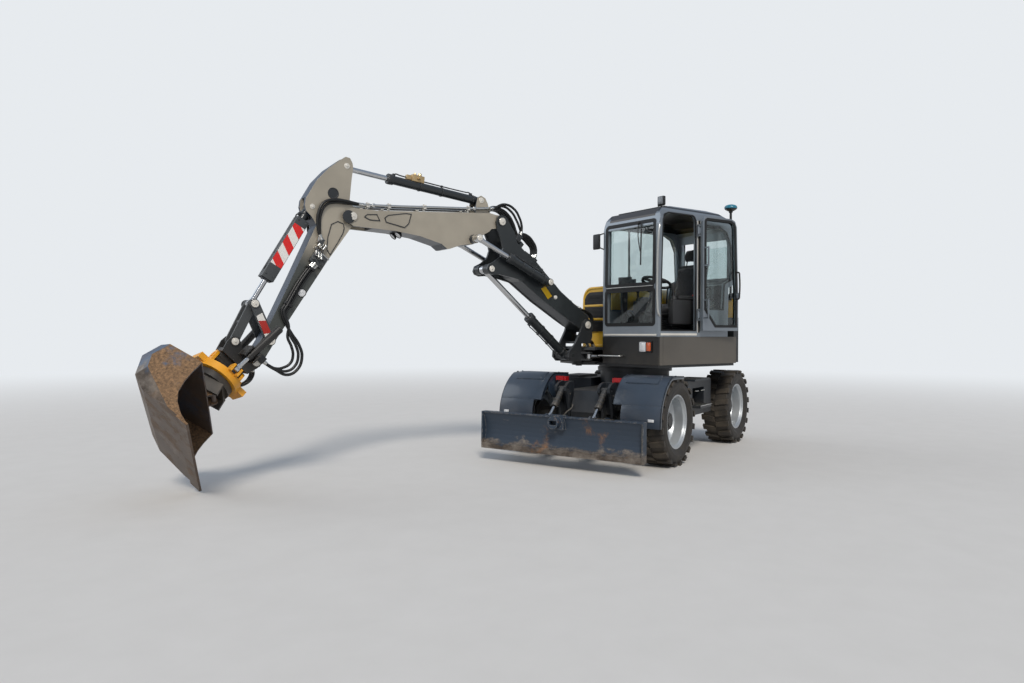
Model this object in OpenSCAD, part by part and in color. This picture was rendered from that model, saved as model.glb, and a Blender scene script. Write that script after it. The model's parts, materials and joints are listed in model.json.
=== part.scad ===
// Compact wheeled excavator with offset boom, tilt rotator and grading bucket.
// Millimetres; the chassis runs along X with the blade at +X, Z is up.

/* [Running gear] */
// Tyre diameter over the lugs
wheel_d = 975; // [940:5:1000]
// Tyre section width
tyre_w = 360; // [320:5:380]
// Rim flange diameter
rim_d = 600; // [570:5:620]
// Distance between the axles
wheelbase = 2160; // [2120:10:2220]
// Blade axle ahead of the slew centre
axle_ahead = 1055; // [1040:5:1080]
// Track between tyre centres
track = 1690; // [1680:5:1710]
// Bolt circle of the wheel studs
hub_pcd = 275; // [250:5:290]
// Bars of tread on each tyre half
tyre_bars = 20; // [16:1:24]

/* [Chassis] */
// Underside of the chassis box
chassis_z0 = 440; // [420:5:460]
// Top of the chassis box
chassis_z1 = 800; // [780:5:820]
// Chassis box width
chassis_w = 640; // [600:10:660]
// Slew ring diameter
ring_d = 880; // [820:10:920]
// Step and tank box length
side_box_l = 820; // [740:10:860]

/* [Blade] */
// Blade width
blade_w = 2000; // [1960:10:2060]
// Blade height
blade_h = 415; // [380:5:440]
// Blade lower edge above ground
blade_z = 155; // [120:5:200]
// Blade face ahead of the slew centre
blade_x = 1985; // [1960:5:2020]
// Blade arm pivot height
arm_z = 470; // [455:5:480]
// Drawbar pin bore diameter
tow_bore_d = 42; // [38:1:46]

/* [Stance] */
// Upper structure turned on the chassis
slew_deg = -20; // [-25:1:-15]
// Lower boom chord above level
boom1_deg = 42; // [40:0.5:45]
// Upper boom chord above level
boom2_deg = -3.5; // [-6:0.5:0]
// Stick above level
stick_deg = -56.5; // [-59:0.5:-54]
// Hitch pin line above level
curl_deg = 45; // [40:1:50]
// Sideways tilt of the rotator
tilt_deg = 17; // [12:1:22]
// Turn of the bucket on the rotator
rotor_deg = -36; // [-42:1:-30]
// Door swung open from closed
door_deg = 175; // [160:1:176]

/* [Upper structure] */
// Underside of the upper frame
upper_z0 = 1065; // [1055:5:1075]
// Cab floor height
cab_z0 = 1425; // [1415:5:1435]
// Cab roof height
cab_z1 = 2950; // [2890:10:2980]
// Cab front face ahead of the slew centre
cab_xf = 650; // [630:5:665]
// Cab rear face behind the slew centre
cab_xr = -740; // [-770:5:-720]
// Cab right side
cab_yr = 95; // [90:1:100]
// Cab left side
cab_yl = 1005; // [995:1:1015]
// Tail swing radius
tail_r = 1290; // [1270:5:1310]
// Half width of the upper frame
upper_hw = 1000; // [980:5:1010]
// Kingpost axis ahead of the slew centre
kp_x = 700; // [695:1:705]
// Kingpost axis right of the slew centre
kp_y = -300; // [-305:1:-295]

/* [Boom] */
// Boom foot pin height
foot_z = 1570; // [1560:5:1580]
// Lower boom between pins
boom1_len = 1760; // [1740:5:1780]
// Upper boom between pins
boom2_len = 1815; // [1800:5:1830]
// Stick between pins
stick_len = 1737; // [1720:1:1750]
// Half width of the lower boom box
boom1_hw = 130; // [128:1:134]
// Half width of the upper boom box
boom2_hw = 124; // [120:1:124]
// Half width of the stick box
stick_hw = 92; // [88:1:93]
// Offset of the boom adjust cylinders from the boom plane
adj_y = 232; // [228:1:240]

/* [Attachment] */
// Distance between the hitch pins
hitch_len = 270; // [262:2:280]
// Tilt axis below the hitch pins
tilt_drop = 200; // [195:1:206]
// Turntable housing diameter
turn_d = 540; // [500:10:560]
// Bucket width
bucket_w = 1240; // [1180:10:1260]
// Bucket plate thickness
bucket_t = 16; // [12:1:20]

/* [Hidden] */
$fn = 32;
row_x = -1966.7;
row_y = 656.7;
wheel_r = wheel_d / 2;
axle_back = axle_ahead - wheelbase;
knee_rel = boom2_deg - boom1_deg;
foot = [0, foot_z];
knee = foot + pol(boom1_len, boom1_deg);
tip = knee + pol(boom2_len, boom2_deg);
stick_end = tip + pol(stick_len, stick_deg);
lift_base = [235, 1190];
lift_lug = [1499, -506];
lift_eye = foot + rot2(lift_lug, boom1_deg);
adj_lug1 = [848, -90];
adj_lug2 = [393, -206];
stick_lug2 = [216, 245];
stick_lug3 = [-391, 321];
buck_lug3 = [176, 374];
lever_pin = [stick_len - 234, 0];
lever_top = [stick_len - 440, 315];
hitch_top = [stick_len, 0] + rot2([hitch_len, 0], curl_deg - stick_deg);
steer_z = wheel_r;
ink = [0.13, 0.14, 0.15];
steel = [0.78, 0.79, 0.8];
grey = [0.26, 0.28, 0.3];
pale = [0.62, 0.6, 0.55];
yellow = [0.93, 0.68, 0.06];
blue = [0.2, 0.27, 0.34];
rust = [0.42, 0.27, 0.16];

function pol(r, a) = [r * cos(a), r * sin(a)];
function rot2(p, a) = [p[0] * cos(a) - p[1] * sin(a), p[0] * sin(a) + p[1] * cos(a)];
function ang(p, q) = atan2(q[1] - p[1], q[0] - p[0]);

// frames
module in_row() translate([row_x, row_y, 0]) children();
module at_upper() in_row() rotate([0, 0, slew_deg]) children();
module at_boom() at_upper() translate([kp_x, kp_y, 0]) children();
module at_pt(p, a) at_boom() translate([p[0], 0, p[1]]) rotate([0, -a, 0]) children();
module at_boom1() at_pt(foot, boom1_deg) children();
module at_boom2() at_pt(knee, boom2_deg) children();
module at_stick() at_pt(tip, stick_deg) children();
module at_hitch() at_pt(stick_end, curl_deg) children();
module at_tilt() at_hitch() translate([hitch_len / 2, 0, -tilt_drop]) rotate([tilt_deg, 0, 0])
    children();
module at_rotor() at_tilt() rotate([0, 0, rotor_deg]) children();

// shapes
module slab(y0, y1) translate([0, y1, 0]) rotate([90, 0, 0]) linear_extrude(y1 - y0) children();
module pair(y0, y1) { slab(y0, y1) children(); slab(-y1, -y0) children(); }
module disc(p, y0, y1, r) slab(y0, y1) translate(p) circle(r);
module box(a, b) translate(a) cube(b - a);
module both() { children(); mirror([0, 1, 0]) children(); }
module seg(p, q, r) translate(p) rotate([0, acos((q - p)[2] / norm(q - p)),
    atan2((q - p)[1], (q - p)[0])]) cylinder(r = r, h = norm(q - p));

// tube of a cylinder along +X, its base eye and pin on the origin
module tube_x(r, len, rod_r, eye_r, eye_w, pin_r, pin_w) difference() {
    union() {
        translate([0, eye_w / 2, 0]) rotate([90, 0, 0]) cylinder(r = eye_r, h = eye_w);
        translate([0, pin_w / 2, 0]) rotate([90, 0, 0]) cylinder(r = pin_r, h = pin_w);
        translate([eye_r * 0.6, 0, 0]) rotate([0, 90, 0]) cylinder(r = r * 0.92, h = len - eye_r * 0.6);
        translate([eye_r + 4, 0, 0]) rotate([0, 90, 0]) cylinder(r = r, h = 30);
        translate([len - 64, 0, 0]) rotate([0, 90, 0]) cylinder(r = r + 5, h = 60);
    }
    translate([eye_r + 30, 0, 0]) rotate([0, 90, 0]) cylinder(r = rod_r + 0.3, h = len);
}
// rod of a cylinder reaching back along -X from its eye on the origin
module rod_x(len, rod_r, eye_r, eye_w) {
    translate([0, eye_w / 2, 0]) rotate([90, 0, 0]) cylinder(r = eye_r, h = eye_w);
    translate([-len, 0, 0]) rotate([0, 90, 0]) cylinder(r = rod_r, h = len - eye_r * 0.6);
    translate([-eye_r - 20, 0, 0]) rotate([0, 90, 0]) cylinder(r = rod_r + 4, h = 28);
}
// places a child on p with its X axis towards q, in the XZ plane
module aim(p, q) translate([p[0], 0, p[1]]) rotate([0, -ang(p, q), 0]) children();

// wheels
wheels = [ // name, x, side
    ["bl", axle_ahead, 1], ["br", axle_ahead, -1],
    ["sl", axle_back, 1], ["sr", axle_back, -1]];
function wheel(n) = [for (w = wheels) if (w[0] == n) w][0];
module at_wheel(n) in_row() translate([wheel(n)[1], wheel(n)[2] * track / 2, wheel_r])
    rotate([0, 0, wheel(n)[2] > 0 ? 0 : 180]) rotate([-90, 0, 0]) children();

module rim(n) color(steel) at_wheel(n) difference() {
    f = rim_d / 2;
    h = tyre_w / 2 - 35;
    q = hub_pcd / 2;
    rotate_extrude($fn = 48) polygon([[f, -h], [f, -h + 12], [f - 24, -h + 12], [f - 24, h - 12],
        [f, h - 12], [f, h], [f - 16, h], [f - 38, h - 34], [f - 38, 10], [f - 64, -34],
        [q + 44, -50], [q + 30, -36], [108.3, -36], [108.3, -50], [q + 34, -50], [q + 48, -66],
        [f - 56, -50], [f - 38, -20], [f - 38, -h + 34], [f - 16, -h]]);
    for (i = [0:7]) rotate(i * 45) translate([q, 0, -80]) cylinder(r = 9, h = 60, $fn = 16);
}

module tyre(n) color(ink) at_wheel(n) union() {
    s = tyre_w / 2;
    f = rim_d / 2;
    c = wheel_r - 24;
    top = sqrt(wheel_r * wheel_r - 60 * 60);
    rotate_extrude($fn = 48) polygon([[f - 23, -s + 64], [f - 23, -s + 48], [f + 1, -s + 48],
        [f + 1, -s + 32], [f + 70, -s + 3], [c - 48, -s + 8], [c, -s + 34],
        [c, s - 34], [c - 48, s - 8], [f + 70, s - 3], [f + 1, s - 32], [f + 1, s - 48],
        [f - 23, s - 48], [f - 23, s - 64]]);
    for (k = [0:tyre_bars - 1], m = [-1, 1])
        rotate(k * 360 / tyre_bars + (m > 0 ? 180 / tyre_bars : 0))
            rotate([0, 90, 0]) translate([0, 0, c - 14]) linear_extrude(top - c + 14)
                polygon([for (q = [[4, 36], [4, -30], [s - 6, -58], [s - 6, 10]]) [-m * q[0], q[1]]]);
}

// axles
axle_seat = 612;
module stub() {
    translate([0, 0, 52]) cylinder(r = 108, h = 130);
    translate([0, 0, 44]) cylinder(r = 158, h = 52);
    translate([0, 0, 180]) cylinder(r = 92, h = 26);
    translate([0, 0, 205]) cylinder(r = 60, h = 12);
    for (i = [0:5]) rotate(i * 60) translate([76, 0, 204]) cylinder(r = 8, h = 8, $fn = 6);
}
module axle_blade() color(grey) in_row() translate([axle_ahead, 0, wheel_r]) {
    rotate([90, 0, 0]) cylinder(r = 78, h = track - 210, center = true);
    translate([-170, -30, 0]) rotate([0, 90, 0]) cylinder(r = 108, h = 300);
    both() {
        translate([0, track / 2 - 150, 0]) rotate([-90, 0, 0]) stub();
        box([-110, 200, 0], [110, 300, axle_seat - wheel_r - 0.2]);
    }
}
module axle_steer() color(grey) in_row() translate([axle_back, 0, steer_z]) difference() {
    axle_bits(track / 2 - 150);
    translate([-145, 0, -45]) rotate([90, 0, 0]) cylinder(r = 16.3, h = 500, center = true);
}
module axle_bits(y) {
    rotate([90, 0, 0]) cylinder(r = 72, h = 2 * y - 190, center = true);
    translate([-130, 30, 0]) rotate([0, 90, 0]) cylinder(r = 105, h = 300);
    translate([-232, 0, 0]) rotate([0, 90, 0]) cylinder(r = 55, h = 464);
    translate([-145, 0, -45]) rotate([90, 0, 0]) cylinder(r = 42, h = 420, center = true);
    box([-150, -60, -40], [-60, 60, 40]);
    both() translate([0, y, 0]) {
        box([-52, -110, -130], [52, -82, 130]);
        box([-38, -90, 100], [38, 0, 130]);
        box([-38, -90, -130], [38, 0, -100]);
        translate([0, 0, 100]) cylinder(r = 38, h = 30);
        translate([0, 0, -130]) cylinder(r = 38, h = 30);
        translate([0, 0, -138]) cylinder(r = 20, h = 276);
    }
}
module steer_rod() color(steel) in_row() translate([axle_back - 145, 0, steer_z - 45]) {
    rotate([90, 0, 0]) cylinder(r = 16, h = track - 380, center = true);
    both() translate([0, track / 2 - 216, 0]) rotate([90, 0, 0]) cylinder(r = 24, h = 46);
}
module knuckle(m) color(grey) in_row() translate([axle_back, m * (track / 2 - 150), steer_z])
    mirror([0, m > 0 ? 0 : 1, 0]) difference() {
        union() {
            translate([0, 0, -95]) cylinder(r = 46, h = 190);
            rotate([-90, 0, 0]) cylinder(r = 84, h = 56);
            rotate([-90, 0, 0]) stub();
            box([-150, -22, -62], [0, 18, -28]);
        }
        translate([0, 0, -120]) cylinder(r = 20.3, h = 240);
    }
// chassis
arm_x = 1300;
arm_y = [235, 317];
tower_y = [[200, 230], [322, 352]];
blade_top = [1390, 825];
blade_lug = [1690, 515];
tower = [[1245, 420], [1345, 420], [1345, 560], [1400, 760], [1440, 800], [1440, 850],
    [1385, 890], [1330, 905], [1245, 905]];
module chassis_frame() color(ink) in_row() difference() {
    union() {
        slab(-chassis_w / 2, chassis_w / 2) polygon([[axle_back - 215, 655], [axle_back + 235, 655],
            [axle_back + 305, chassis_z0], [axle_ahead - 255, chassis_z0], [axle_ahead - 205, axle_seat],
            [1262, axle_seat], [1262, chassis_z1], [axle_back - 135, chassis_z1],
            [axle_back - 215, 740]]);
        slab(-180, 180) polygon([[1240, 400], [1340, 400], [1372, 560], [1275, chassis_z1],
            [1240, chassis_z1]]);
        translate([0, 0, chassis_z1 - 5]) cylinder(d = ring_d, h = 195, $fn = 64);
        translate([0, 0, 990]) cylinder(d = ring_d + 70, h = 44.7, $fn = 64);
        both() {
            for (t = tower_y) slab(t[0], t[1]) polygon(tower);
            box([1245, 200, 540], [1275, 352, 905]);
            box([axle_ahead + 60, chassis_w / 2 - 5, 710], [axle_ahead + 160, 455, 770]);
            box([-400, chassis_w / 2 - 5, 500], [-340, 440, 700]);
            box([300, chassis_w / 2 - 5, 500], [360, 440, 700]);
        }
        for (x = [-235, 195]) box([axle_back + x, -90, wheel_r - 85], [axle_back + x + 40, 90, 670]);
    }
    translate([axle_back - 240, 0, wheel_r]) rotate([0, 90, 0]) cylinder(r = 55.3, h = 480);
    translate([0, 0, 430]) cylinder(r = 210, h = 640);
    disc([arm_x, arm_z], -360, 360, 20.3);
    disc(blade_top, -360, 360, 16.3);
}
module side_boxes() color(ink) in_row() both() {
    difference() {
        box([-side_box_l / 2 - 30, 440, 470], [side_box_l / 2 - 30, 860, 890]);
        box([-180, 700, 560], [230, 870, 800]);
    }
    box([-170, 700, 560], [220, 960, 590]);
    box([-190, 640, 890], [330, 930, 915]);
}
fender = [[1150, 1015], [1440, 1015], [1530, 985], [1590, 920], [1625, 800], [1640, 660], [1640, 560]];
module fenders() color(blue) in_row() both() {
    difference() {
        slab(455, 1022) polygon(concat(fender, [[1620, 560], [1620, 660], [1605, 795],
            [1573, 908], [1519, 969], [1437, 997], [1150, 997]]));
        slab(450, 640) polygon([[1500, 400], [1700, 400], [1700, 1100], [1500, 1100]]);
    }
    slab(455, 475) polygon([[1100, 999], [1500, 985], [1450, 850], [1300, 700], [1100, 700]]);
}
module tail_lamps() color([0.75, 0.05, 0.06]) in_row() both() {
    box([1200, 300, 905.2], [1262, 440, 955]);
    box([1262, 330, 912], [1280, 430, 960]);
}

// blade
function face(t) = blade_x - 55 * sin(180 * t);
module blade() color(blue) in_row() difference() {
    n = 8;
    z1 = blade_z + blade_h;
    union() {
        slab(-blade_w / 2, blade_w / 2) polygon(concat(
            [for (i = [0:n]) [face(i / n), blade_z + i / n * blade_h]],
            [for (i = [n:-1:0]) [face(i / n) - 16, blade_z + i / n * blade_h]]));
        box([blade_x - 75, -blade_w / 2, z1 - 14], [blade_x + 4, blade_w / 2, z1]);
        box([blade_x - 40, -blade_w / 2, blade_z - 6], [blade_x + 8, blade_w / 2, blade_z + 60]);
        slab(-620, 620) polygon([[blade_x - 170, 230], [blade_x - 60, 200], [blade_x - 60, 450],
            [blade_x - 170, 420]]);
        both() {
            slab(blade_w / 2 - 18, blade_w / 2) polygon([[blade_x - 75, blade_z], [blade_x + 10, blade_z],
                [blade_x + 14, blade_z + 90], [blade_x + 6, z1], [blade_x - 75, z1]]);
            slab(arm_y[0], arm_y[1]) polygon([[arm_x - 32, arm_z - 25], [arm_x - 32, arm_z + 25], [arm_x, arm_z + 38],
                [1420, 470], [blade_x - 100, 430], [blade_x - 100, 230], [1780, 235], [1450, 360],
                [arm_x + 10, arm_z - 38]]);
            for (y = [arm_y[0], arm_y[1] - 16])
                slab(y, y + 16) polygon([[1630, 440], [1650, 540], [1690, 560], [1730, 540], [1780, 430]]);
            disc([arm_x, arm_z], 194, 358, 20);
            disc([arm_x, arm_z], 354, 364, 30);
        }
        box([blade_x - 50, -85, z1 - 140], [blade_x + 14, 85, z1 + 14]);
        translate([blade_x, 0, z1 - 62]) rotate([0, 90, 0]) cylinder(r = 64, h = 92);
    }
    box([blade_x + 20, -44, z1 - 86], [blade_x + 110, 44, z1 - 38]);
    translate([blade_x + 58, 0, z1 - 160]) cylinder(d = tow_bore_d, h = 200);
}
module blade_tubes() color(grey) in_row() both() translate([0, (arm_y[0] + arm_y[1]) / 2, 0])
    aim(blade_top, blade_lug) tube_x(32, 270, 17, 27, 70, 16, 120);
module blade_rods() color(steel) in_row() both() translate([0, (arm_y[0] + arm_y[1]) / 2, 0])
    aim(blade_lug, blade_top) rotate([0, 0, 180]) rod_x(262, 17, 27, 40);

// upper frame
swing_base = [-150, 300];
swing_lug = [20, 215];
module foot_print(r, o) intersection() {
    circle(r = r, $fn = 96);
    polygon([[645 - o, upper_hw - o], [645 - o, 60 + o], [592 - o, -60], [592 - o, -560],
        [480 - o, -upper_hw + o], [-1400, -upper_hw + o], [-1400, upper_hw - o]]);
}
module upper_frame() color(ink) at_upper() difference() {
    union() {
        translate([0, 0, upper_z0 - 30]) cylinder(d = ring_d + 40, h = 40, $fn = 64);
        translate([0, 0, upper_z0]) linear_extrude(30) foot_print(tail_r - 60, 30);
        translate([0, 0, 1258]) linear_extrude(32) foot_print(tail_r - 30, 30);
        for (w = [[-420, 600], [-205, 380]])
            box([-900, w[0], upper_z0 + 20], [w[1] - 10, w[0] + 30, 1270]);
        for (z = [upper_z0, 1252]) {
            translate([kp_x, kp_y, z]) cylinder(r = 88, h = 38);
            translate([0, 0, z]) linear_extrude(38) polygon([[400, kp_y - 200], [592, kp_y - 180],
                [kp_x, kp_y - 87], [kp_x, kp_y + 87], [592, kp_y + 180], [400, kp_y + 200]]);
        }
        box([-700, -900, upper_z0 + 20], [-670, 900, 1270]);
        box([560, 130, 1280], [600, 965, 1424.7]);
        box([-600, 130, 1285], [-540, 965, 1424.7]);
        translate([kp_x, kp_y, upper_z0 - 12]) cylinder(r = 40, h = 1302 - upper_z0);
        translate([swing_base[0], swing_base[1], upper_z0 + 20]) cylinder(r = 18, h = 180);
    }
    translate([0, 0, upper_z0 - 60]) cylinder(r = 180, h = 120);
}
module engine() color(grey) at_upper() box([-1110, -480, 1290], [-800, 420, 1740]);
module counterweight() color(ink) at_upper() difference() {
    translate([0, 0, upper_z0 + 40]) linear_extrude(560) intersection() {
        circle(r = tail_r, $fn = 96);
        translate([-1400, -960]) square([630, 1920]);
    }
    box([-1150, -900, 1290], [-800, 900, 1760]);
    translate([0, 0, upper_z0]) linear_extrude(225) offset_print();
}
module offset_print() intersection() {
    circle(r = tail_r - 25, $fn = 96);
    translate([-1400, -970]) square([1400, 1940]);
}

// panels
module arch(y0, y1, z0, z1, r) {
    translate([y0, z0]) square([y1 - y0, z1 - z0 - r]);
    translate([y0 + r, z0]) square([y1 - y0 - 2 * r, z1 - z0]);
    translate([y0 + r, z1 - r]) circle(r);
    translate([y1 - r, z1 - r]) circle(r);
}
module along_x(x0, x1) translate([x0, 0, 0]) rotate([90, 0, 90]) linear_extrude(x1 - x0) children();
hood_x = [-765, 470];
module hood() color(yellow) at_upper() {
    hood_front();
    hood_back();
}
module hood_front() difference() {
    along_x(hood_x[0], hood_x[1]) arch(-985, 62, 1290, 2040, 170);
    along_x(hood_x[0] - 1, hood_x[1] - 22) arch(-963, 40, 1280, 2018, 148);
    for (z = [[1425, 1610], [1655, 1790], [1835, 1890]])
        box([400, -905, z[0]], [500, -18, z[1]]);
    box([400, -830, 1889], [500, -93, 1960]);
    box([-600, -1000, 1450], [300, -950, 1820]);
}
module hood_back() difference() {
    translate([0, 0, 1665]) linear_extrude(235) intersection() {
        circle(r = tail_r - 10, $fn = 96);
        translate([-1400, -955]) square([630, 1910]);
    }
    translate([0, 0, 1660]) linear_extrude(218) intersection() {
        circle(r = tail_r - 34, $fn = 96);
        translate([-1400, -931]) square([606, 1862]);
    }
    box([-1300, -560, 1710], [-1100, 560, 1840]);
}
module ring_slab(z, h, r0, r1, yy) translate([0, 0, z]) linear_extrude(h) intersection() {
    difference() {
        circle(r = r1, $fn = 96);
        circle(r = r0, $fn = 96);
    }
    translate([-1400, -yy]) square([600, 2 * yy]);
}
module louvres() color(ink) at_upper() {
    box([436, -930, 1400], [447.5, 6, 1880]);
    box([436, -850, 1879], [447.5, -75, 1975]);
    for (z = [1440:34:1600]) box([440, -900, z], [464, -23, z + 10]);
    for (z = [1668:34:1780]) box([440, -900, z], [464, -23, z + 10]);
    for (z = [1848:34:1950]) box([440, -825, z], [464, -98, z + 10]);
    box([-620, -962.5, 1430], [320, -951, 1840]);
    for (z = [1470:40:1800]) box([-595, -980, z], [295, -958, z + 12]);
    ring_slab(1690, 170, tail_r - 46, tail_r - 34.3, 600);
    for (z = [1722:30:1822]) ring_slab(z, 10, tail_r - 36, tail_r - 14, 556);
}
module skirts() color([0.3, 0.29, 0.27]) at_upper() {
    difference() {
        translate([0, 0, upper_z0 + 32]) linear_extrude(327) intersection() {
            foot_print(tail_r, 0);
            translate([568, 86]) square([200, 1000]);
        }
        translate([0, 0, upper_z0]) linear_extrude(400) foot_print(tail_r - 29.7, 29.7);
        box([630, 700, 1262], [700, 880, 1370]);
    }
    difference() {
        translate([0, 0, upper_z0 + 32]) linear_extrude(327) intersection() {
            foot_print(tail_r, 0);
            translate([-766, 700]) square([1330, 400]);
        }
        translate([0, 0, upper_z0]) linear_extrude(400) foot_print(tail_r - 29.7, 29.7);
    }
    difference() {
        translate([0, 0, upper_z0 + 32]) linear_extrude(192.7) intersection() {
            foot_print(tail_r, 0);
            translate([-766, -1100]) square([1330, 300]);
        }
        translate([0, 0, upper_z0]) linear_extrude(400) foot_print(tail_r - 29.7, 29.7);
    }
}
module lamps() at_upper() {
    color(steel) box([630.2, 706, 1268], [650, 800, 1364]);
    color([0.9, 0.35, 0.03]) box([630.2, 802, 1268], [652, 874, 1364]);
    color(grey) translate([cab_xf - 118, cab_yl - 90, cab_z1 - 33]) cylinder(r = 10, h = 50);
    color(grey) translate([cab_xf - 112, cab_yl - 90, cab_z1 + 50]) rotate([0, 20, 0])
        box([-28, -42, -42], [28, 42, 42]);
}

// cab
f = cab_xf;
z0 = cab_z0;
z1 = cab_z1;
cab_side = [[f, z0], [f, 2000], [f - 10, z1 - 230], [f - 40, z1 - 110], [f - 105, z1 - 38],
    [f - 250, z1 - 8], [-250, z1], [-480, z1 - 16], [-620, z1 - 80], [-700, z1 - 190],
    [cab_xr + 8, z1 - 370], [cab_xr, 2250], [cab_xr, 2090], [-600, 2030], [-590, z0]];
cab_in = [[f - 45, z0 + 45], [f - 45, 2000], [f - 55, z1 - 235], [f - 82, z1 - 135],
    [f - 135, z1 - 80], [f - 255, z1 - 52], [-250, z1 - 45], [-465, z1 - 60], [-590, z1 - 115],
    [-657, z1 - 210], [cab_xr + 45, z1 - 380], [cab_xr + 45, 2250], [cab_xr + 45, 2118],
    [-545, 2062], [-545, z0 + 45]];
function cross(o) = [[cab_yr + o, z0], [cab_yr + o, z1 - 165], [cab_yr + o + 22, z1 - 70 - o / 3],
    [cab_yr + o + 85, z1 + 20 - o * 1.6], [cab_yl - o - 85, z1 + 20 - o * 1.6],
    [cab_yl - o - 22, z1 - 70 - o / 3], [cab_yl - o, z1 - 165], [cab_yl - o, z0]];
door_edge = [[f - 42, z0 + 65], [f - 40, 1950], [f - 68, z1 - 190], [f - 100, z1 - 118],
    [f - 165, z1 - 92], [70, z1 - 88], [28, z1 - 105], [2, z1 - 150], [2, z0 + 65]];
quarter = [[-70, 1760], [-70, z1 - 190], [-420, z1 - 190], [-560, z1 - 250], [-640, z1 - 400],
    [-665, 2140], [-520, 2080], [-500, 1760]];
module cab_shell() color([0.55, 0.55, 0.54]) at_upper() {
    cab_box();
    door_rail();
}
module door_rail() {
    for (z = [1615, 1735, 2615, 2735]) difference() {
        box([door_hinge[0] - 22, cab_yl, z], [door_hinge[0] + 12, cab_yl + 34, z + 20]);
        translate([door_hinge[0], door_hinge[1], z - 1]) cylinder(r = 9, h = 30);
    }
}
module cab_box() difference() {
    intersection() {
        slab(cab_yr, cab_yl) polygon(cab_side);
        along_x(cab_xr, f) polygon(cross(0));
    }
    intersection() {
        slab(cab_yr, cab_yl) polygon(cab_in);
        along_x(cab_xr, f) polygon(cross(40));
    }
    box([f - 90, cab_yr + 72, 2018], [f + 5, cab_yl - 85, z1 - 238]);
    box([f - 90, cab_yr + 72, z0 + 145], [f + 5, cab_yl - 85, 1978]);
    box([f - 400, cab_yr + 150, z1 - 90], [f - 150, cab_yl - 150, z1 + 30]);
    slab(cab_yl - 60, cab_yl + 5) polygon(door_edge);
    slab(cab_yl - 60, cab_yl + 5) polygon(quarter);
    slab(cab_yr - 5, cab_yr + 60) polygon([[f - 95, z0 + 330], [f - 105, z1 - 230], [f - 170, z1 - 190],
        [-420, z1 - 190], [-560, z1 - 250], [-640, z1 - 400], [-660, 2160], [-530, 2096],
        [-506, 2040], [-480, z0 + 330]]);
    box([cab_xr - 5, cab_yr + 100, 2160], [cab_xr + 60, cab_yl - 100, z1 - 270]);
}
module cab_glass() color([0.55, 0.7, 0.75]) at_upper() {
    slab(cab_yr + 60, cab_yl - 75) polygon([[f - 45.2, z0 + 130], [f - 45.2, 2000],
        [f - 55, z1 - 237], [f - 61, z1 - 237], [f - 51.2, 2000], [f - 51.2, z0 + 130]]);
    slab(cab_yr + 40.2, cab_yr + 46) polygon([[f - 80, z0 + 310], [f - 90, z1 - 215],
        [f - 165, z1 - 172], [-420, z1 - 172], [-570, z1 - 235], [-655, z1 - 395],
        [-675, 2150], [-652, 2116], [-541, 2066],
        [-541, 2030], [-500, z0 + 310]]);
    slab(cab_yl - 46, cab_yl - 40.2) polygon([[-50, 1740], [-50, z1 - 172], [-420, z1 - 172],
        [-570, z1 - 235], [-655, z1 - 395], [-680, 2130], [-535, 2065], [-515, 1740]]);
    box([cab_xr + 45.3, cab_yr + 85, 2150], [cab_xr + 51, cab_yl - 85, z1 - 400]);
}
door_hinge = [-16, cab_yl + 18];
module at_door() at_upper() translate([door_hinge[0], door_hinge[1], 0]) rotate([0, 0, door_deg])
    translate([-door_hinge[0], -door_hinge[1], 0]) children();
door_out = [[f - 48, z0 + 71], [f - 46, 1950], [f - 74, z1 - 192], [f - 104, z1 - 123],
    [f - 166, z1 - 98], [72, z1 - 94], [33, z1 - 109], [8, z1 - 152], [8, z0 + 71]];
door_win = [[f - 84, 1560], [f - 84, 1950], [f - 112, z1 - 205], [f - 132, z1 - 160],
    [f - 175, z1 - 140], [80, z1 - 138], [56, z1 - 150], [50, z1 - 170], [50, 1760], [220, 1560]];
module door() color([0.55, 0.55, 0.54]) at_door() difference() {
    union() {
        slab(cab_yl - 34, cab_yl + 4) polygon(door_out);
        for (z = [1640, 2640]) {
            translate([door_hinge[0], door_hinge[1], z]) cylinder(r = 13, h = 90);
            box([door_hinge[0], cab_yl + 5, z + 10], [60, cab_yl + 12, z + 80]);
            box([20, cab_yl - 5, z + 10], [60, cab_yl + 12, z + 80]);
        }
        // pull handles
        for (z = [1640, 2260]) {
            for (h = [z, z + 210]) box([20, cab_yl - 92, h], [36, cab_yl - 20, h + 16]);
            box([20, cab_yl - 108, z], [36, cab_yl - 92, z + 226]);
        }
        box([f - 95, cab_yl - 60, 1900], [f - 60, cab_yl + 20, 1960]);
    }
    slab(cab_yl - 80, cab_yl + 10) polygon(door_win);
}
module door_glass() color([0.55, 0.7, 0.75]) at_door() slab(cab_yl - 18, cab_yl - 12)
    polygon(door_win);

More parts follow.
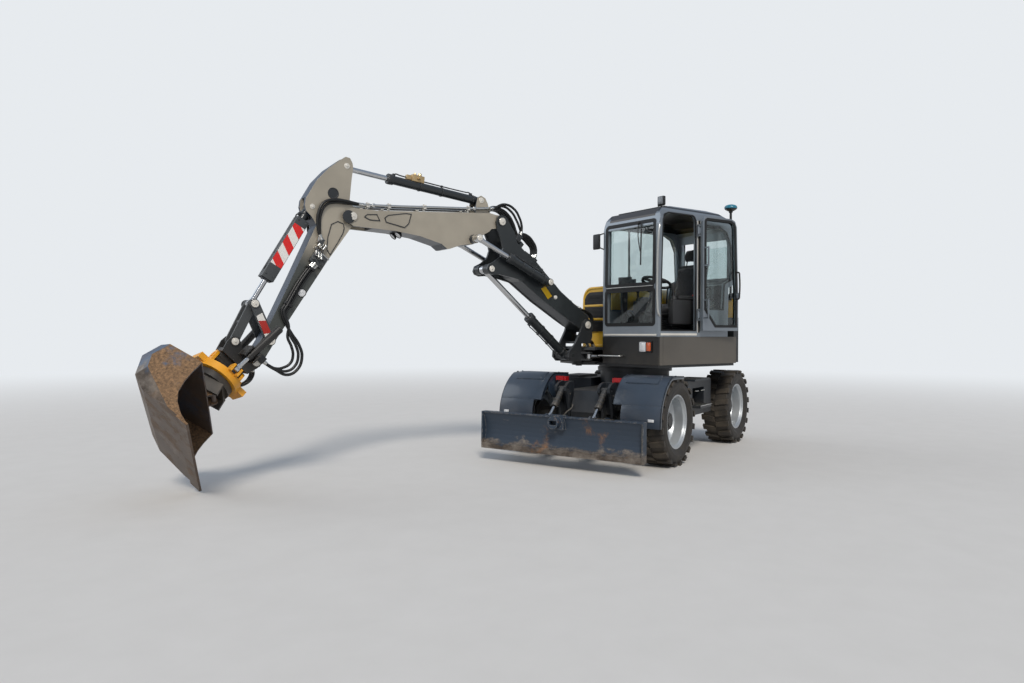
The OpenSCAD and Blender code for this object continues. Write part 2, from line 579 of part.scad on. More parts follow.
// inside the cab
module seat() color([0.12, 0.12, 0.13]) at_upper() translate([-70, (cab_yr + cab_yl) / 2, z0 + 45]) {
    box([-170, -170, 0], [170, 170, 230]);
    box([-230, -235, 230], [250, 235, 345]);
    translate([-215, 0, 330]) rotate([0, -12, 0]) {
        box([-110, -225, 0], [10, 225, 560]);
        box([-95, -120, 560], [-5, 120, 740]);
    }
    both() {
        box([-60, 235.2, 60], [330, 335, 400]);
        translate([270, 285, 400]) cylinder(r = 22, h = 90);
        translate([270, 285, 480]) cylinder(r = 28, h = 60);
    }
}
module console() color(ink) at_upper() translate([0, (cab_yr + cab_yl) / 2, z0 + 45]) {
    box([330, -60, 0], [470, 60, 60]);
    translate([400, 0, 40]) rotate([0, -20, 0]) {
        cylinder(r = 42, h = 560);
        box([-20, -70, 480], [70, 70, 590]);
        translate([0, 0, 600]) difference() {
            cylinder(r = 185, h = 26);
            translate([0, 0, -1]) difference() {
                cylinder(r = 160, h = 30);
                for (a = [90, 210, 330]) rotate(a) box([0, -14, 0], [170, 14, 40]);
                cylinder(r = 45, h = 40);
            }
        }
        translate([0, 0, 585]) cylinder(r = 30, h = 30);
    }
    for (y = [-190, -110, 110, 190]) translate([440, y, 0]) rotate([0, 30, 0])
        box([-12, -30, 0], [0, 30, 160]);
    box([360, -360, 0], [440, -320, 520]);
    translate([400, -290, 520]) rotate([0, 0, 15]) box([-20, -110, 0], [20, 60, 170]);
}
module masts() at_upper() for (m = [-1, 1]) {
    color(ink) translate([-810, m * 925, 1900]) cylinder(r = 16, h = z1 - 1880, $fn = 24);
    color(ink) translate([-810, m * 925, z1 + 18]) cylinder(r1 = 30, r2 = 62, h = 26);
    color([0.05, 0.4, 0.5]) translate([-810, m * 925, z1 + 44]) cylinder(r = 66, h = 26);
}

// swing bracket and its cylinder
module swing_bracket() color(grey) at_boom() difference() {
    union() {
        translate([0, 0, 1110]) cylinder(r = 90, h = 135);
        box([30, -160, 1112], [140, 160, 1243]);
        pair(136, 166) polygon([[100, 1112], [250, 1116], [306, 1170], [300, 1235], [205, 1330],
            [112, 1490], [72, 1600], [22, 1645], [-45, 1638], [-82, 1585], [-78, 1420],
            [-45, 1338], [100, 1338]]);
        box([-60, -140, 1336], [110, 140, 1364]);
        pair(67, 140) translate(lift_base) circle(54);
        for (z = [1124, 1210]) translate([0, 0, z]) linear_extrude(20)
            polygon([[40, 140], [-22, 190], [-22, 232], [2, 254], [42, 254], [64, 232], [120, 140]]);
        disc(foot, -180, 180, 38);
        pair(166, 176) translate(foot) circle(56);
    }
    translate([0, 0, 1000]) cylinder(r = 40.3, h = 330);
    disc(lift_base, -200, 200, 28.3);
}
swing_len = norm(swing_base - [kp_x, kp_y] - swing_lug);
swing_dir = ang(swing_base, [kp_x, kp_y] + swing_lug);
module swing_tube() color(ink) at_upper() translate([swing_base[0], swing_base[1], 1177])
    rotate([0, 0, swing_dir]) rotate([90, 0, 0]) difference() {
        tube_x(42, 620, 22, 38, 60, 30, 60);
        translate([0, 60, 0]) rotate([90, 0, 0]) cylinder(r = 18.3, h = 120);
    }
module swing_rod() color(steel) at_boom() translate([swing_lug[0], swing_lug[1], 1177])
    rotate([0, 0, swing_dir]) rotate([90, 0, 0]) rod_x(655, 22, 34, 54);

// lower boom
side1 = [[1150, -15], [1457, -20], [1551, 40], [1690, 66], [1757, 82], [1815, 58], [1838, 2],
    [1815, -58], [1757, -100], [1640, -150], [1545, -215], [1505, -310], [1530, -420], [1562, -500],
    [1540, -555], [1499, -570], [1440, -545], [1380, -478], [1200, -360], [1081, -292]];
body1 = [[0, -92], [300, -152], [702, -238], [1081, -292], [1180, -330], [1290, -330], [1290, 6],
    [1204, 26], [900, 22], [576, 26], [353, 56], [110, 96], [0, 92], [-60, 70], [-90, 10], [-62, -66]];
module boom_lower() color(ink) at_boom1() difference() {
    union() {
        slab(-boom1_hw, boom1_hw) polygon(body1);
        pair(boom1_hw - 1, 155) polygon(side1);
        pair(44, 131) translate(lift_lug) circle(56);
        pair(120, adj_y - 46) translate(adj_lug1) circle(48);
        pair(120, adj_y + 46) translate(adj_lug1) circle(27);
        pair(adj_y + 46, adj_y + 58) translate(adj_lug1) circle(40);
        disc([boom1_len, 0], -166, 166, 34);
        pair(155, 164) translate([boom1_len, 0]) circle(52);
        pair(155, 164) translate(lift_lug) circle(40);
    }
    disc([0, 0], -200, 200, 38.3);
    disc([boom1_len, 0], -boom1_hw + 1, boom1_hw - 1, 0.01);
}
module lift_tube() color(ink) at_boom() aim(lift_base, lift_eye)
    tube_x(60, 745, 32, 58, 124, 28, 330);
module lift_rod() color(steel) at_boom() aim(lift_eye, lift_base) rotate([0, 0, 180])
    rod_x(1110, 32, 48, 80);

// upper boom
body2 = [[0, -72], [130, -84], [160, -112], [320, -190], [345, -235], [393, -262], [460, -264],
    [560, -275], [700, -316], [735, -316], [800, -264], [1063, -184], [1344, -138], [1600, -116],
    [1600, 66], [139, 96], [60, 78], [0, 74], [-52, 52], [-74, 0], [-52, -52]];
module boom_upper() color(pale) at_boom2() difference() {
    union() {
        slab(-boom2_hw, boom2_hw) polygon(body2);
        pair(stick_hw + 5, boom2_hw) {
            polygon([[1560, -119], [1815, -98], [1880, -60], [boom2_len + 92, 0], [1880, 62],
                [1815, 84], [1560, 68]]);
        }
        pair(56, 74) polygon([[96, 60], [132, 210], [162, 270], [216, 298], [268, 272],
            [292, 200], [310, 60]]);
        disc([boom2_len, 0], -boom2_hw - 10, boom2_hw + 10, 34);
        pair(boom2_hw, boom2_hw + 10) translate([boom2_len, 0]) circle(50);
        pair(boom2_hw - 2, adj_y - 44) translate(adj_lug2) circle(50);
    }
    disc([0, 0], -200, 200, 34.3);
    disc(stick_lug2, -90, 90, 24.3);
}
module pipes() color(steel) at_boom2() both() {
    for (y = [76, 104]) translate([330, y, 104]) rotate([0, 91.18, 0])
        cylinder(r = 9, h = 1150, $fn = 16);
    for (x = [420, 1000, 1400]) translate([x, 64, 96.3 - (x - 139) * 0.0205])
        box([0, 0, 0], [30, 52, 26]);
}
adj_eye1 = [boom1_len, 0] + rot2(adj_lug2, knee_rel);
module adjust_tubes() color(ink) at_boom1() for (m = [-1, 1]) translate([0, m * adj_y, 0])
    difference() {
        aim(adj_lug1, adj_eye1) tube_x(50, 640, 28, 46, 80, 30, 80);
        disc(adj_lug1, -60, 60, 27.3);
    }
module adjust_rods() color(steel) at_boom1() for (m = [-1, 1]) translate([0, m * adj_y, 0])
    aim(adj_eye1, adj_lug1) rotate([0, 0, 180]) rod_x(750, 28, 42, 80);

// stick
stick_rel = stick_deg - boom2_deg;
side3 = [[-455, 292], [-480, 340], [-460, 382], [-405, 402], [-245, 455], [-66, 482], [152, 470],
    [215, 440], [250, 400], [262, 330], [300, 243], [901, 150], [1443, 72], [stick_len + 20, 60],
    [stick_len + 66, 0], [stick_len + 20, -60], [1443, -48], [524, -42], [86, -56], [0, -66],
    [-55, -45], [-84, 20], [-120, 108], [-299, 202], [-423, 262]];
module stick() color(pale) at_stick() difference() {
    union() {
        slab(-stick_hw, stick_hw) polygon(side3);
        pair(stick_hw - 2, 122) translate(lever_pin) circle(46);
        disc(lever_pin, -154, 154, 28);
    }
    disc([0, 0], -100, 100, 34.3);
    disc([stick_len, 0], -100, 100, 32.3);
    disc(buck_lug3, -100, 100, 24.3);
    slab(-46, 46) capsule(stick_lug3, stick_lug3 + [-30, 60], 58);
    slab(-46, 46) polygon([[-560, 420], [-390, 420], [-340, 360], [-320, 340], [-80, 180], [-150, 60],
        [-560, 60]]);
    slab(-56, 56) translate(buck_lug3) circle(64);
    slab(-56, 56) polygon([[176, 310], [230, 310], [330, 300], [330, 520], [130, 520], [130, 400]]);
}
stick_eye2 = [boom2_len, 0] + rot2(stick_lug3, stick_rel);
module stick_tube() color(ink) at_boom2() aim(stick_lug2, stick_eye2)
    tube_x(50, 1150, 28, 46, 100, 24, 146);
module stick_rod() color(steel) at_boom2() aim(stick_eye2, stick_lug2) rotate([0, 0, 180])
    rod_x(1150, 28, 44, 76);

// bucket linkage
module bucket_tube() color(ink) at_stick() aim(buck_lug3, lever_top)
    tube_x(46, 850, 27, 46, 96, 24, 190);
module bucket_rod() color(steel) at_stick() aim(lever_top, buck_lug3) rotate([0, 0, 180])
    rod_x(870, 27, 40, 76);
module capsule(p, q, r) {
    translate(p) circle(r);
    translate(q) circle(r);
    translate(p) rotate(ang(p, q)) translate([0, 1 - r]) square([norm(q - p), 2 * r - 2]);
}
module levers() color(grey) at_stick() both() difference() {
    union() {
        slab(128, 148) capsule(lever_pin, lever_top, 44);
        slab(44, 156) translate(lever_top) circle(26);
        slab(148, 160) translate(lever_top) circle(38);
    }
    disc(lever_pin, 100, 200, 28.3);
}
module link() color(grey) at_stick() difference() {
    union() {
        pair(60, 88) capsule(lever_top, hitch_top, 42);
        disc((lever_top + hitch_top) / 2, -62, 62, 28);
        pair(88, 126) translate(lever_top) circle(36);
    }
    disc(lever_top, -130, 130, 26.3);
}
module hitch() color(ink) at_hitch() difference() {
    union() {
        pair(stick_hw + 6, 122) polygon([[-50, -30], [-22, -136], [292, -136], [322, -40], [318, 20],
            [270, 52], [225, 30], [140, -20], [50, 30], [0, 58], [-45, 36]]);
        disc([0, 0], -130, 130, 32);
        pair(122, 132) circle(50);
        pair(122, 134) translate([hitch_len, 0]) circle(42);
        box([-20, -100, -136], [290, 100, -96]);
        box([4, -52, -200], [hitch_len - 4, 52, -100]);
        translate([4, 0, -tilt_drop]) rotate([0, 90, 0]) cylinder(r = 58, h = hitch_len - 8);
        both() for (x = [50, 154]) box([x, 118, -60], [x + 16, 322, 50]);
        both() box([50, 118, -60], [170, 136, 20]);
    }
    translate([-10, 0, -tilt_drop]) rotate([0, 90, 0]) cylinder(r = 25.3, h = hitch_len + 20);
    both() translate([40, 280, 0]) rotate([0, 90, 0]) cylinder(r = 16.3, h = 140);
}

// tilt rotator
tilt_x = 110;
tilt_q = [280, 0];
tilt_lug = [240, -60];
function lug_at(m) = [0, -tilt_drop] + rot2([m * tilt_lug[0], tilt_lug[1]], tilt_deg);
module aim_yz(p, q) translate([tilt_x, p[0], p[1]]) rotate([ang(p, q), 0, 0]) rotate([0, 0, 90])
    children();
module tilt_tube(m) color(ink) at_hitch() aim_yz([m * tilt_q[0], tilt_q[1]], lug_at(m)) difference() {
    union() {
        translate([-330, 0, 0]) rotate([0, 90, 0]) cylinder(r = 37, h = 380);
        translate([-338, 0, 0]) rotate([0, 90, 0]) cylinder(r = 30, h = 20);
        translate([20, 0, 0]) rotate([0, 90, 0]) cylinder(r = 41, h = 34);
        translate([0, 60, 0]) rotate([90, 0, 0]) cylinder(r = 16, h = 120);
    }
    translate([-310, 0, 0]) rotate([0, 90, 0]) cylinder(r = 18.3, h = 400);
}
module tilt_rod(m) color(steel) at_hitch() aim_yz(lug_at(m), [m * tilt_q[0], tilt_q[1]])
    rotate([0, 0, 180]) rod_x(400, 18, 26, 40);
module tilt_body() color(yellow) at_tilt() {
    h = hitch_len / 2;
    difference() {
        union() {
            translate([0, 0, -172]) cylinder(r = turn_d / 2 - 50, h = 72, $fn = 64);
            box([-turn_d / 2, -95, -150], [turn_d / 2, 95, -92]);
            for (m = [-1, 1]) {
                translate([m > 0 ? h + 6 : -h - 34, 0, 0]) rotate([0, 90, 0]) cylinder(r = 60, h = 28);
                box([m > 0 ? h + 6 : -h - 34, -60, -100], [m > 0 ? h + 34 : -h - 6, 60, 0]);
                for (x = [-50, 28]) box([tilt_x - h + x, m > 0 ? 170 : -262, -116],
                    [tilt_x - h + x + 22, m > 0 ? 262 : -170, -38]);
            }
        }
        translate([0, 0, -180]) cylinder(r = 55.3, h = 100);
    }
    for (m = [-1, 1]) translate([m > 0 ? h - 70 : -h - 42, 0, 0]) rotate([0, 90, 0])
        cylinder(r = 25, h = 112);
}
module rotor() color(ink) at_rotor() {
    translate([0, 0, -236]) cylinder(r = 185, h = 59, $fn = 64);
    translate([0, 0, -190]) cylinder(r = 55, h = 90);
    box([-150, -142, -262], [225, 142, -234]);
    pair(112, 142) polygon([[-150, -250], [-165, -350], [240, -350], [225, -250]]);
    box([-60, -60, -320], [130, 60, -255]);
}
bucket_out = [[-82, -373], [337, -358], [390, -520], [316, -695], [166, -788], [-322, -890],
    [-235, -842], [-150, -770], [-98, -690], [-78, -590], [-74, -500]];
bucket_in = [[-500, -398], [325, -375], [373, -521], [303, -685], [158, -772], [-326, -874],
    [-500, -915]];
bevels = [[337, -358, 18.1], [390, -520, -22.9], [316, -695, -58.2]];
module bevel(d) both() for (b = bevels) translate([b[0], 0, b[1]]) rotate([0, -b[2], 0])
    translate([0, bucket_w / 2 - 100, 0]) rotate([0, 0, 45]) translate([-d, 0, 0])
        box([0, -700, -700], [500, 700, 700]);
module bucket() color(rust) at_rotor() {
    difference() {
        slab(-bucket_w / 2, bucket_w / 2) polygon(bucket_out);
        bevel(0);
        difference() {
            slab(-bucket_w / 2 + bucket_t, bucket_w / 2 - bucket_t) polygon(bucket_in);
            bevel(bucket_t);
        }
    }
    slab(-bucket_w / 2 - 6, bucket_w / 2 + 6) polygon([[-344, -894], [-226, -866], [-221, -886],
        [-334, -911]]);
    pair(72, 96) polygon([[-82, -384], [-130, -330], [-128, -306], [-95, -285], [-60, -310], [60, -345],
        [130, -310], [165, -285], [200, -310], [215, -374]]);
    for (x = [-95, 165]) disc([x, -318], -111.7, 111.7, 22);
}

chassis_frame();
side_boxes();
fenders();
tail_lamps();
axle_blade();
axle_steer();
steer_rod();
knuckle(1);  // knuckle_l
knuckle(-1);  // knuckle_r
rim("bl");  // rim_bl
rim("br");  // rim_br
rim("sl");  // rim_sl
rim("sr");  // rim_sr
tyre("bl");  // tyre_bl
tyre("br");  // tyre_br
tyre("sl");  // tyre_sl
tyre("sr");  // tyre_sr
blade();
blade_tubes();
blade_rods();
upper_frame();
engine();
counterweight();
hood();
louvres();
skirts();
lamps();
cab_shell();
cab_glass();
door();
door_glass();
seat();
console();
masts();
swing_bracket();
swing_tube();
swing_rod();
boom_lower();
lift_tube();
lift_rod();
boom_upper();
pipes();
adjust_tubes();
adjust_rods();
stick();
stick_tube();
stick_rod();
bucket_tube();
bucket_rod();
levers();
link();
hitch();
tilt_tube(1);  // tilt_tube_l
tilt_rod(1);  // tilt_rod_l
tilt_tube(-1);  // tilt_tube_r
tilt_rod(-1);  // tilt_rod_r
tilt_body();
rotor();
bucket();
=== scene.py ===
import json
import math

import bpy
from mathutils import Matrix, Vector


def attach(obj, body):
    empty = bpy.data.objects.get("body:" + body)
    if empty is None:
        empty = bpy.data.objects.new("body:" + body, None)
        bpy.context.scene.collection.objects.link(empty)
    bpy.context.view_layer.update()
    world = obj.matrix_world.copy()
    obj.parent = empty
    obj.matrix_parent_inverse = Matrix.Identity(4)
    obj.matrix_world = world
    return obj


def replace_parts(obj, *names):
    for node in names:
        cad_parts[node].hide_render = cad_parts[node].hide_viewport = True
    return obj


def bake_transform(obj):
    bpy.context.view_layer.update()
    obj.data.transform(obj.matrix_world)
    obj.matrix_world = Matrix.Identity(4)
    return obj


bl_info = {
    "name": "Wheeled Excavator Dressing",
    "version": (1, 0, 0),
    "blender": (4, 5, 0),
    "location": "3D View > Sidebar > Excavator",
    "description": "Dresses a packed wheeled excavator with finishes, hoses, lamps and trim",
    "category": "Object",
}

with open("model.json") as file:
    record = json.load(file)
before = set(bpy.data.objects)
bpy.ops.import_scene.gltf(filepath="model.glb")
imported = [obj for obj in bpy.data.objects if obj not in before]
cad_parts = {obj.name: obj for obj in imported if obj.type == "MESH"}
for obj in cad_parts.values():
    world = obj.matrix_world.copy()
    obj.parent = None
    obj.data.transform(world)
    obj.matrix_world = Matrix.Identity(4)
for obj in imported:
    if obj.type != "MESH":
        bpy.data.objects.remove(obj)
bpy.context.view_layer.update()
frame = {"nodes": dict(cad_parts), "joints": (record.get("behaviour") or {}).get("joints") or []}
MM = 0.001
JOINTS = {j["name"]: j for j in frame["joints"]}
SLEW_AT = Vector(JOINTS["slew"]["pos_m"])

# The part's own values, in millimetres and degrees
STANCE = {"slew": -20, "lower": 42, "upper": -3.5, "stick": -56.5, "curl": 45, "tilt": 17, "turn": -36,
          "door": 175}
KINGPOST = (700, -300)
FOOT_Z, LOWER, UPPER, STICK, HITCH, TILT_DROP = 1570, 1760, 1815, 1737, 270, 200
AXLES = {"bl": (1055, 845), "br": (1055, -845), "sl": (-1105, 845), "sr": (-1105, -845)}
WHEEL_R, NUT_CIRCLE_R, NUTS = 487.5, 137.5, 8
MUDGUARD_R = 552
CAB = {"x0": -740, "x1": 650, "z0": 1425}
HINGE = (-16, 1023)
TAIL_R, TAIL_HALF = 1288, 950
MAST = (-790, 893)
BLADE_ARM_Y = 276

# Pins that a cylinder turns on, as (x, z) in the section that carries them
LIFT_BASE, LIFT_EYE = (235, 1190), (1499, -506)
ADJUST_BASE, ADJUST_EYE = (848, -90), (393, -206)
STICK_BASE, STICK_EYE = (216, 245), (-391, 321)
BUCKET_BASE, BUCKET_EYE = (176, 374), (1297, 315)
BLADE_BASE, BLADE_EYE = (1390, 825), (1690, 515)

# The photograph's camera, fitted to the machine
CAMERA_AT, CAMERA_YAW, CAMERA_PITCH, CAMERA_ROLL = (8.624, 3.919, 1.441), 34.14, -0.51, 0.08
FOCAL_PX, PHOTO_PX, SENSOR_MM = 717.8, 1024, 36.0


def tint(code):
    """A colour written as six hex digits, as linear RGBA."""
    parts = [int(code[i:i + 2], 16) / 255 for i in (0, 2, 4)]
    return tuple(c / 12.92 if c <= 0.04045 else ((c + 0.055) / 1.055) ** 2.4 for c in parts) + (1.0,)


# ---------------------------------------------------------------- places
def moved(x, y, z):
    return Matrix.Translation(Vector((x, y, z)) * MM)


def turned(degrees, axis):
    return Matrix.Rotation(math.radians(degrees), 4, axis)


def swing(radius, degrees):
    return radius * math.cos(math.radians(degrees)), radius * math.sin(math.radians(degrees))


def machine_places():
    """The local frame of each section, as the part's source sets them."""
    s = STANCE
    row = moved(SLEW_AT.x / MM, SLEW_AT.y / MM, 0)
    upper = row @ turned(s["slew"], "Z")
    boom = upper @ moved(*KINGPOST, 0)
    x, z, out = 0.0, FOOT_Z, {}
    for name, length, angle in (("boom_lower", LOWER, s["lower"]), ("boom_upper", UPPER, s["upper"]),
                                ("stick", STICK, s["stick"]), ("hitch", 0, s["curl"])):
        out[name] = boom @ moved(x, 0, z) @ turned(-angle, "Y")
        step = swing(length, angle)
        x, z = x + step[0], z + step[1]
    tilt = out["hitch"] @ moved(HITCH / 2, 0, -TILT_DROP) @ turned(s["tilt"], "X")
    out.update(row=row, cabin=upper, post=boom, tilt=tilt, turn=tilt @ turned(s["turn"], "Z"))
    out["door"] = upper @ moved(*HINGE, 0) @ turned(s["door"], "Z") @ moved(-HINGE[0], -HINGE[1], 0)
    for key, (ax, ay) in AXLES.items():
        out["wheel_" + key] = row @ moved(ax, ay, WHEEL_R) @ turned(0 if ay > 0 else 180, "Z")
    return out


PLACE = machine_places()
FLIP = Matrix.Scale(-1, 4, (0, 1, 0))


# ---------------------------------------------------------------- settings
def shade(name, description, code):
    return bpy.props.FloatVectorProperty(name=name, description=description, subtype="COLOR", size=4, min=0, max=1,
                                         default=tint(code))


def share(name, description, default):
    return bpy.props.FloatProperty(name=name, description=description, subtype="FACTOR", min=0, max=1,
                                   default=default)


def length(name, description, low, high, default):
    return bpy.props.FloatProperty(name=name, description=description, unit="LENGTH", min=low, max=high,
                                   default=default)


class ExcavatorFinish(bpy.types.PropertyGroup):
    """Colours of the machine's finishes and how used they look."""
    boom_dark: shade("Lower boom", "Paint of the lower boom and cylinders", "2a2e30")
    boom_pale: shade("Upper boom", "Paint of the upper boom and stick", "a79f90")
    chassis: shade("Chassis", "Paint of the chassis", "1f242a")
    guard: shade("Mudguards", "Paint of the mudguards and blade", "2a3644")
    cab: shade("Cab", "Paint of the cab and door", "7d858d")
    skirt: shade("Skirts", "Paint of the lower side panels", "57534d")
    hood: shade("Hood", "Paint of the engine hood", "d9ab2c")
    tilter: shade("Tilt frame", "Paint of the tilt frame", "eda417")
    rim: shade("Rims", "Paint of the wheel rims", "b9bec2")
    dust: shade("Dust", "Colour of the dust that settles", "93836c")
    earth: shade("Earth", "Colour of the earth on the blade", "7d5438")
    dustiness: share("Dustiness", "How much dust lies on the machine", 0.55)
    wear: share("Wear", "How far paint is worn off the edges", 0.35)


class ExcavatorSizes(bpy.types.PropertyGroup):
    """Sizes of the fitted pieces."""
    hose_d: length("Hose", "Outer diameter of a main hose", 0.01, 0.04, 0.029)
    thin_hose_d: length("Thin hose", "Outer diameter of a pilot hose", 0.006, 0.02, 0.013)
    cap_h: length("Pin cap", "Height of a pin's end cap", 0.002, 0.02, 0.007)
    band: length("Stripe", "Width of one warning stripe", 0.03, 0.2, 0.078)
    seal: length("Seal", "Width of the rubber round a window", 0.005, 0.04, 0.014)
    edge: length("Edge", "Radius that light finds on a sharp edge", 0.0005, 0.01, 0.003)


# ---------------------------------------------------------------- node trees
class Tree:
    """A node tree under way, with short words for the nodes that it uses most."""

    def __init__(self, tree):
        self.tree = tree

    def node(self, kind, sockets=None, **settings):
        made = self.tree.nodes.new("ShaderNode" + kind)
        for key, value in settings.items():
            setattr(made, key, value)
        for key, value in (sockets or {}).items():
            self.feed(made.inputs[key], value)
        return made

    def feed(self, socket, value):
        if isinstance(value, bpy.types.NodeSocket):
            self.tree.links.new(value, socket)
        else:
            socket.default_value = value

    def maths(self, how, a, b=0.5, clamp=False):
        return self.node("Math", {0: a, 1: b}, operation=how, use_clamp=clamp).outputs[0]

    def vectors(self, how, a, b=(0.0, 0.0, 0.0)):
        return self.node("VectorMath", {0: a, 1: b}, operation=how).outputs["Value" if how == "DOT_PRODUCT" else 0]

    def mix(self, factor, a, b, how="MIX"):
        return self.node("Mix", {0: factor, 6: a, 7: b}, data_type="RGBA", blend_type=how).outputs[2]

    def toned(self, colour, tone):
        """A colour times a grey."""
        return self.mix(1.0, colour, self.node("CombineColor", {0: tone, 1: tone, 2: tone}).outputs[0], "MULTIPLY")

    def blend(self, factor, a, b):
        return self.node("Mix", {0: factor, 2: a, 3: b}, data_type="FLOAT").outputs[0]

    def spread(self, value, low, high, to_low=0.0, to_high=1.0):
        return self.node("MapRange", {0: value, 1: low, 2: high, 3: to_low, 4: to_high},
                         interpolation_type="SMOOTHSTEP").outputs[0]

    def here(self):
        return self.node("TexCoord").outputs["Object"]

    def placed(self, matrix):
        """Object coordinates brought into a section's own frame, in metres."""
        return self.node("Mapping", {"Vector": self.here(), "Location": matrix.to_translation(),
                                     "Rotation": matrix.to_euler()}, vector_type="TEXTURE").outputs[0]

    def sideways(self, matrix):
        """How far a face looks along a section's own Y, either way."""
        way = (matrix.to_3x3() @ Vector((0, 1, 0))).normalized()
        return self.maths("ABSOLUTE", self.vectors("DOT_PRODUCT", self.node("TexCoord").outputs["Normal"], way))

    def noise(self, vector, scale, detail=4.0, rough=0.55):
        return self.node("TexNoise", {"Vector": vector, "Scale": scale, "Detail": detail,
                                      "Roughness": rough}).outputs["Fac"]

    def axes(self, vector):
        return self.node("SeparateXYZ", {0: vector}).outputs

    def distance(self, a, b):
        return self.maths("SQRT", self.maths("ADD", self.maths("MULTIPLY", a, a), self.maths("MULTIPLY", b, b)))

    def group(self, name, **values):
        made = self.tree.nodes.new("ShaderNodeGroup")
        made.node_tree = bpy.data.node_groups[name]
        for key, value in values.items():
            self.feed(made.inputs[key], value)
        return made.outputs

    def dusty(self, amount, **values):
        dustiness = bpy.context.scene.excavator_finish.dustiness
        return self.group("Settled dust", Amount=amount * dustiness, **values)["Mask"]

    def relief(self, shader, height, strength, distance, edge=0.0):
        """Relief on a shader's normal, over edges that look rounded by a radius."""
        sockets = {"Height": height, "Strength": strength, "Distance": distance}
        if edge:
            sockets["Normal"] = self.node("Bevel", {"Radius": edge}, samples=4).outputs[0]
        self.feed(shader.inputs["Normal"], self.node("Bump", sockets).outputs[0])


def new_group(name, takes, gives):
    """An empty shader node group with its sockets."""
    tree = bpy.data.node_groups.new(name, "ShaderNodeTree")
    kinds = {float: "NodeSocketFloat", tuple: "NodeSocketColor", Vector: "NodeSocketVector"}
    for key, value in takes.items():
        socket = tree.interface.new_socket(key, in_out="INPUT", socket_type=kinds[type(value)])
        socket.default_value = value
    for key, kind in gives.items():
        tree.interface.new_socket(key, in_out="OUTPUT", socket_type=kinds[kind])
    work = Tree(tree)
    work.given = tree.nodes.new("NodeGroupInput").outputs
    work.result = tree.nodes.new("NodeGroupOutput").inputs
    return work


